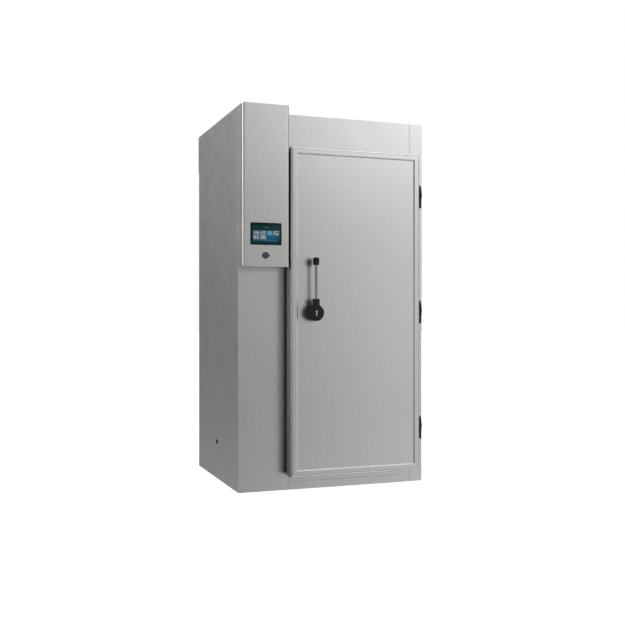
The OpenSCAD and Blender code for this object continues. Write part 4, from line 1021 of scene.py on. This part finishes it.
# %% Fan guards and motors
RING_R = 211.0
GUARD_RINGS, GUARD_INNER, GUARD_OUTER = 9, 38.0, RING_R + 12
RING_WIRE, BAR_WIRE, ARM_WIRE = 1.6, 2.2, 4.0
guard_shape, motor_shape = Shape(), Shape()
for centre in fan_centres:
    front = (panel_x + 6.5 * MM, centre[1], centre[2])
    for radius in np.linspace(GUARD_INNER, GUARD_OUTER, GUARD_RINGS):
        hoop(guard_shape, front, (1, 0, 0), radius, RING_WIRE, 96, 6)
    for a in np.radians((0, 60, 120)):
        reach = np.array([0, math.sin(a), math.cos(a)]) * (GUARD_OUTER + 1) * MM
        base = np.array([panel_x + 2.6 * MM, centre[1], centre[2]])
        wire_rod(guard_shape, base - reach, base + reach, BAR_WIRE, 10)
    for a in np.radians((30, 90, 150, 210, 270, 330)):
        foot = np.array([panel_x, centre[1] + math.sin(a) * GUARD_OUTER * MM,
                         centre[2] + math.cos(a) * GUARD_OUTER * MM])
        wire_rod(guard_shape, foot + np.array([0.3 * MM, 0, 0]), foot + np.array([6 * MM, 0, 0]),
                 ARM_WIRE, 16)
guard_piece = piece("fan_guard_rings", guard_shape, "fan_panel", ["fan_guards"], sharp=50)
wear_finish(guard_piece, chrome)

MOTOR_R, MOTOR_L, MOTOR_CAP, MOTOR_SHAFT = 52.0, 34.0, 6.0, 6.0
COOLING_RIBS = 5
motor_x = hub_front_x - (FAN_HUB_L + 3) * MM
for centre in fan_centres:
    profile = [[0, -MOTOR_L - MOTOR_CAP], [MOTOR_R - 16, -MOTOR_L - MOTOR_CAP],
               [MOTOR_R - 14, -MOTOR_L - MOTOR_CAP + 2], [MOTOR_R - 14, -MOTOR_L],
               [MOTOR_R - 1.5, -MOTOR_L], [MOTOR_R, -MOTOR_L + 1.5]]
    for k in range(COOLING_RIBS):
        top = -MOTOR_L + 4 + 5 * k
        profile += [[MOTOR_R, top], [MOTOR_R - 3, top + 0.6], [MOTOR_R - 3, top + 2.2],
                    [MOTOR_R, top + 2.8]]
    profile += [[MOTOR_R, -2], [MOTOR_R - 2, 0], [0, 0]]
    turned(motor_shape, profile, (motor_x, centre[1], centre[2]), (1, 0, 0), 96)
    wire_rod(motor_shape, (motor_x, centre[1], centre[2]),
             (hub_front_x - 8 * MM, centre[1], centre[2]), MOTOR_SHAFT, 32)
    for a in np.radians((45, 135, 225, 315)):
        out = np.array([0, math.cos(a), math.sin(a)])
        start = np.array([motor_x - 5 * MM, centre[1], centre[2]]) + out * (MOTOR_R - 4) * MM
        end = np.array([motor_x - 5 * MM, centre[1], centre[2]]) + out * (RING_R + 20) * MM
        wire_rod(motor_shape, start, end, ARM_WIRE, 16)
motor_piece = piece("fan_motor_set", motor_shape, "fan_panel", ["fan_motors"], sharp=40)
wear_finish(motor_piece, black_plastic)
print("guards and motors made")

# %% [markdown]
# ## Stage and light
#
# The product shot floats on white: the ground is so bright that it keeps no shadow. There
# are no lamps. Brushed steel shows what surrounds it, so the world is a dark studio with a
# few soft lights in it, each a lobe round one direction. The bright ones stand high at the
# right of the camera, which makes the header and the top of the door lighter than their feet,
# and one edge light from behind the left side catches the rounded corners. The camera itself
# sees plain white.

# %% Floor
FLOOR_HALF = 40.0
FLOOR_DROP = 0.5 * MM
floor_mesh = bpy.data.meshes.new("floor")
floor_mesh.from_pydata([(-FLOOR_HALF, -FLOOR_HALF, 0), (FLOOR_HALF, -FLOOR_HALF, 0),
                        (FLOOR_HALF, FLOOR_HALF, 0), (-FLOOR_HALF, FLOOR_HALF, 0)],
                       [], [(0, 1, 2, 3)])
floor = bpy.data.objects.new("floor", floor_mesh)
bpy.context.scene.collection.objects.link(floor)
floor.location.z = -FLOOR_DROP
floor.visible_glossy = False
floor_finish = Finish("floor_white", roughness=0.9, base_color=(0.9, 0.9, 0.9),
                      emission_color=(1.0, 1.0, 1.0), emission_strength=0.9)
wear_finish(floor, floor_finish.material)

# %% World
world = bpy.data.worlds.new("studio")
bpy.context.scene.world = world
world.use_nodes = True
sky = world.node_tree
sky.nodes.clear()


def sky_node(kind, **inputs):
    """A node of the world, with inputs by name, as values or as links."""
    made = sky.nodes.new(kind)
    for key, value in inputs.items():
        if hasattr(value, "is_linked"):
            sky.links.new(value, made.inputs[key])
        else:
            made.inputs[key].default_value = value
    return made


ray = sky_node("ShaderNodeTexCoord").outputs["Generated"]
split = sky_node("ShaderNodeSeparateXYZ", Vector=ray)


def sky_math(operation, *values):
    """The output of a Math node of the world."""
    made = sky.nodes.new("ShaderNodeMath")
    made.operation = operation
    for socket, value in zip(made.inputs, values):
        if hasattr(value, "is_linked"):
            sky.links.new(value, socket)
        else:
            socket.default_value = value
    return made.outputs[0]


azimuth = sky_math("DEGREES", sky_math("ARCTAN2", split.outputs["X"],
                                       sky_math("MULTIPLY", split.outputs["Y"], -1.0)))
elevation = sky_math("DEGREES", sky_math("ARCSINE", split.outputs["Z"]))


def bell(value, middle, width):
    """exp(-((value - middle) / width) ^ 2), with the difference taken round the circle."""
    away = sky_math("WRAP", sky_math("SUBTRACT", value, middle), 180.0, -180.0)
    return sky_math("EXPONENT", sky_math("MULTIPLY", sky_math("POWER", sky_math(
        "ABSOLUTE", sky_math("DIVIDE", away, width)), 2.0), -1.0))


# Each light: turn from the front towards the right, rise, half width and half height, in
# steps of 5 degrees, then its level in steps of a half. The values began as a fit to the
# photo's brightness, brought to these steps; the levels of key_high and at_camera were then
# tuned on renders.
SOFT_LIGHTS = {
    "key_high": (30, 15, 15, 5, 4.0),          # makes header and door top light
    "key_level": (30, 0, 10, 10, 1.5),         # middle of the door
    "key_low": (35, -15, 30, 5, 1.5),          # foot of the door and the sill
    "right_strip": (55, 5, 10, 15, 1.5),       # door bevels that face right
    "far_right": (125, 0, 15, 50, 3.0),        # right-hand edges
    "at_camera": (0, 0, 15, 5, 1.0),           # lifts the housing and the left column
    "left_strip": (-45, 10, 10, 50, 2.5),      # bevels and bends that face left
    "edge": (-125, 15, 20, 15, 6.0),           # bright bend of the housing
    "back_low": (-170, -30, 40, 20, 1.0),      # foot of the left side
    "overhead": (55, 60, 60, 15, 3.5),
    "floor_glow": (45, -60, 35, 15, 3.0),
}
total = 0.0
for turn, rise, wide, tall, level in SOFT_LIGHTS.values():
    lobe = sky_math("MULTIPLY", bell(azimuth, turn, wide), bell(elevation, rise, tall))
    total = sky_math("ADD", sky_math("MULTIPLY", lobe, level), total)
lights = sky_node("ShaderNodeBackground", Strength=total)
white = sky_node("ShaderNodeBackground", Color=(1.0, 1.0, 1.0, 1.0), Strength=1.0)
seen = sky_node("ShaderNodeLightPath")
both = sky_node("ShaderNodeMixShader", Fac=seen.outputs["Is Camera Ray"])
sky.links.new(lights.outputs[0], both.inputs[1])
sky.links.new(white.outputs[0], both.inputs[2])
sky_node("ShaderNodeOutputWorld", Surface=both.outputs[0])


# %% View
bpy.context.scene.view_settings.view_transform = "Standard"
bpy.context.scene.view_settings.look = "None"
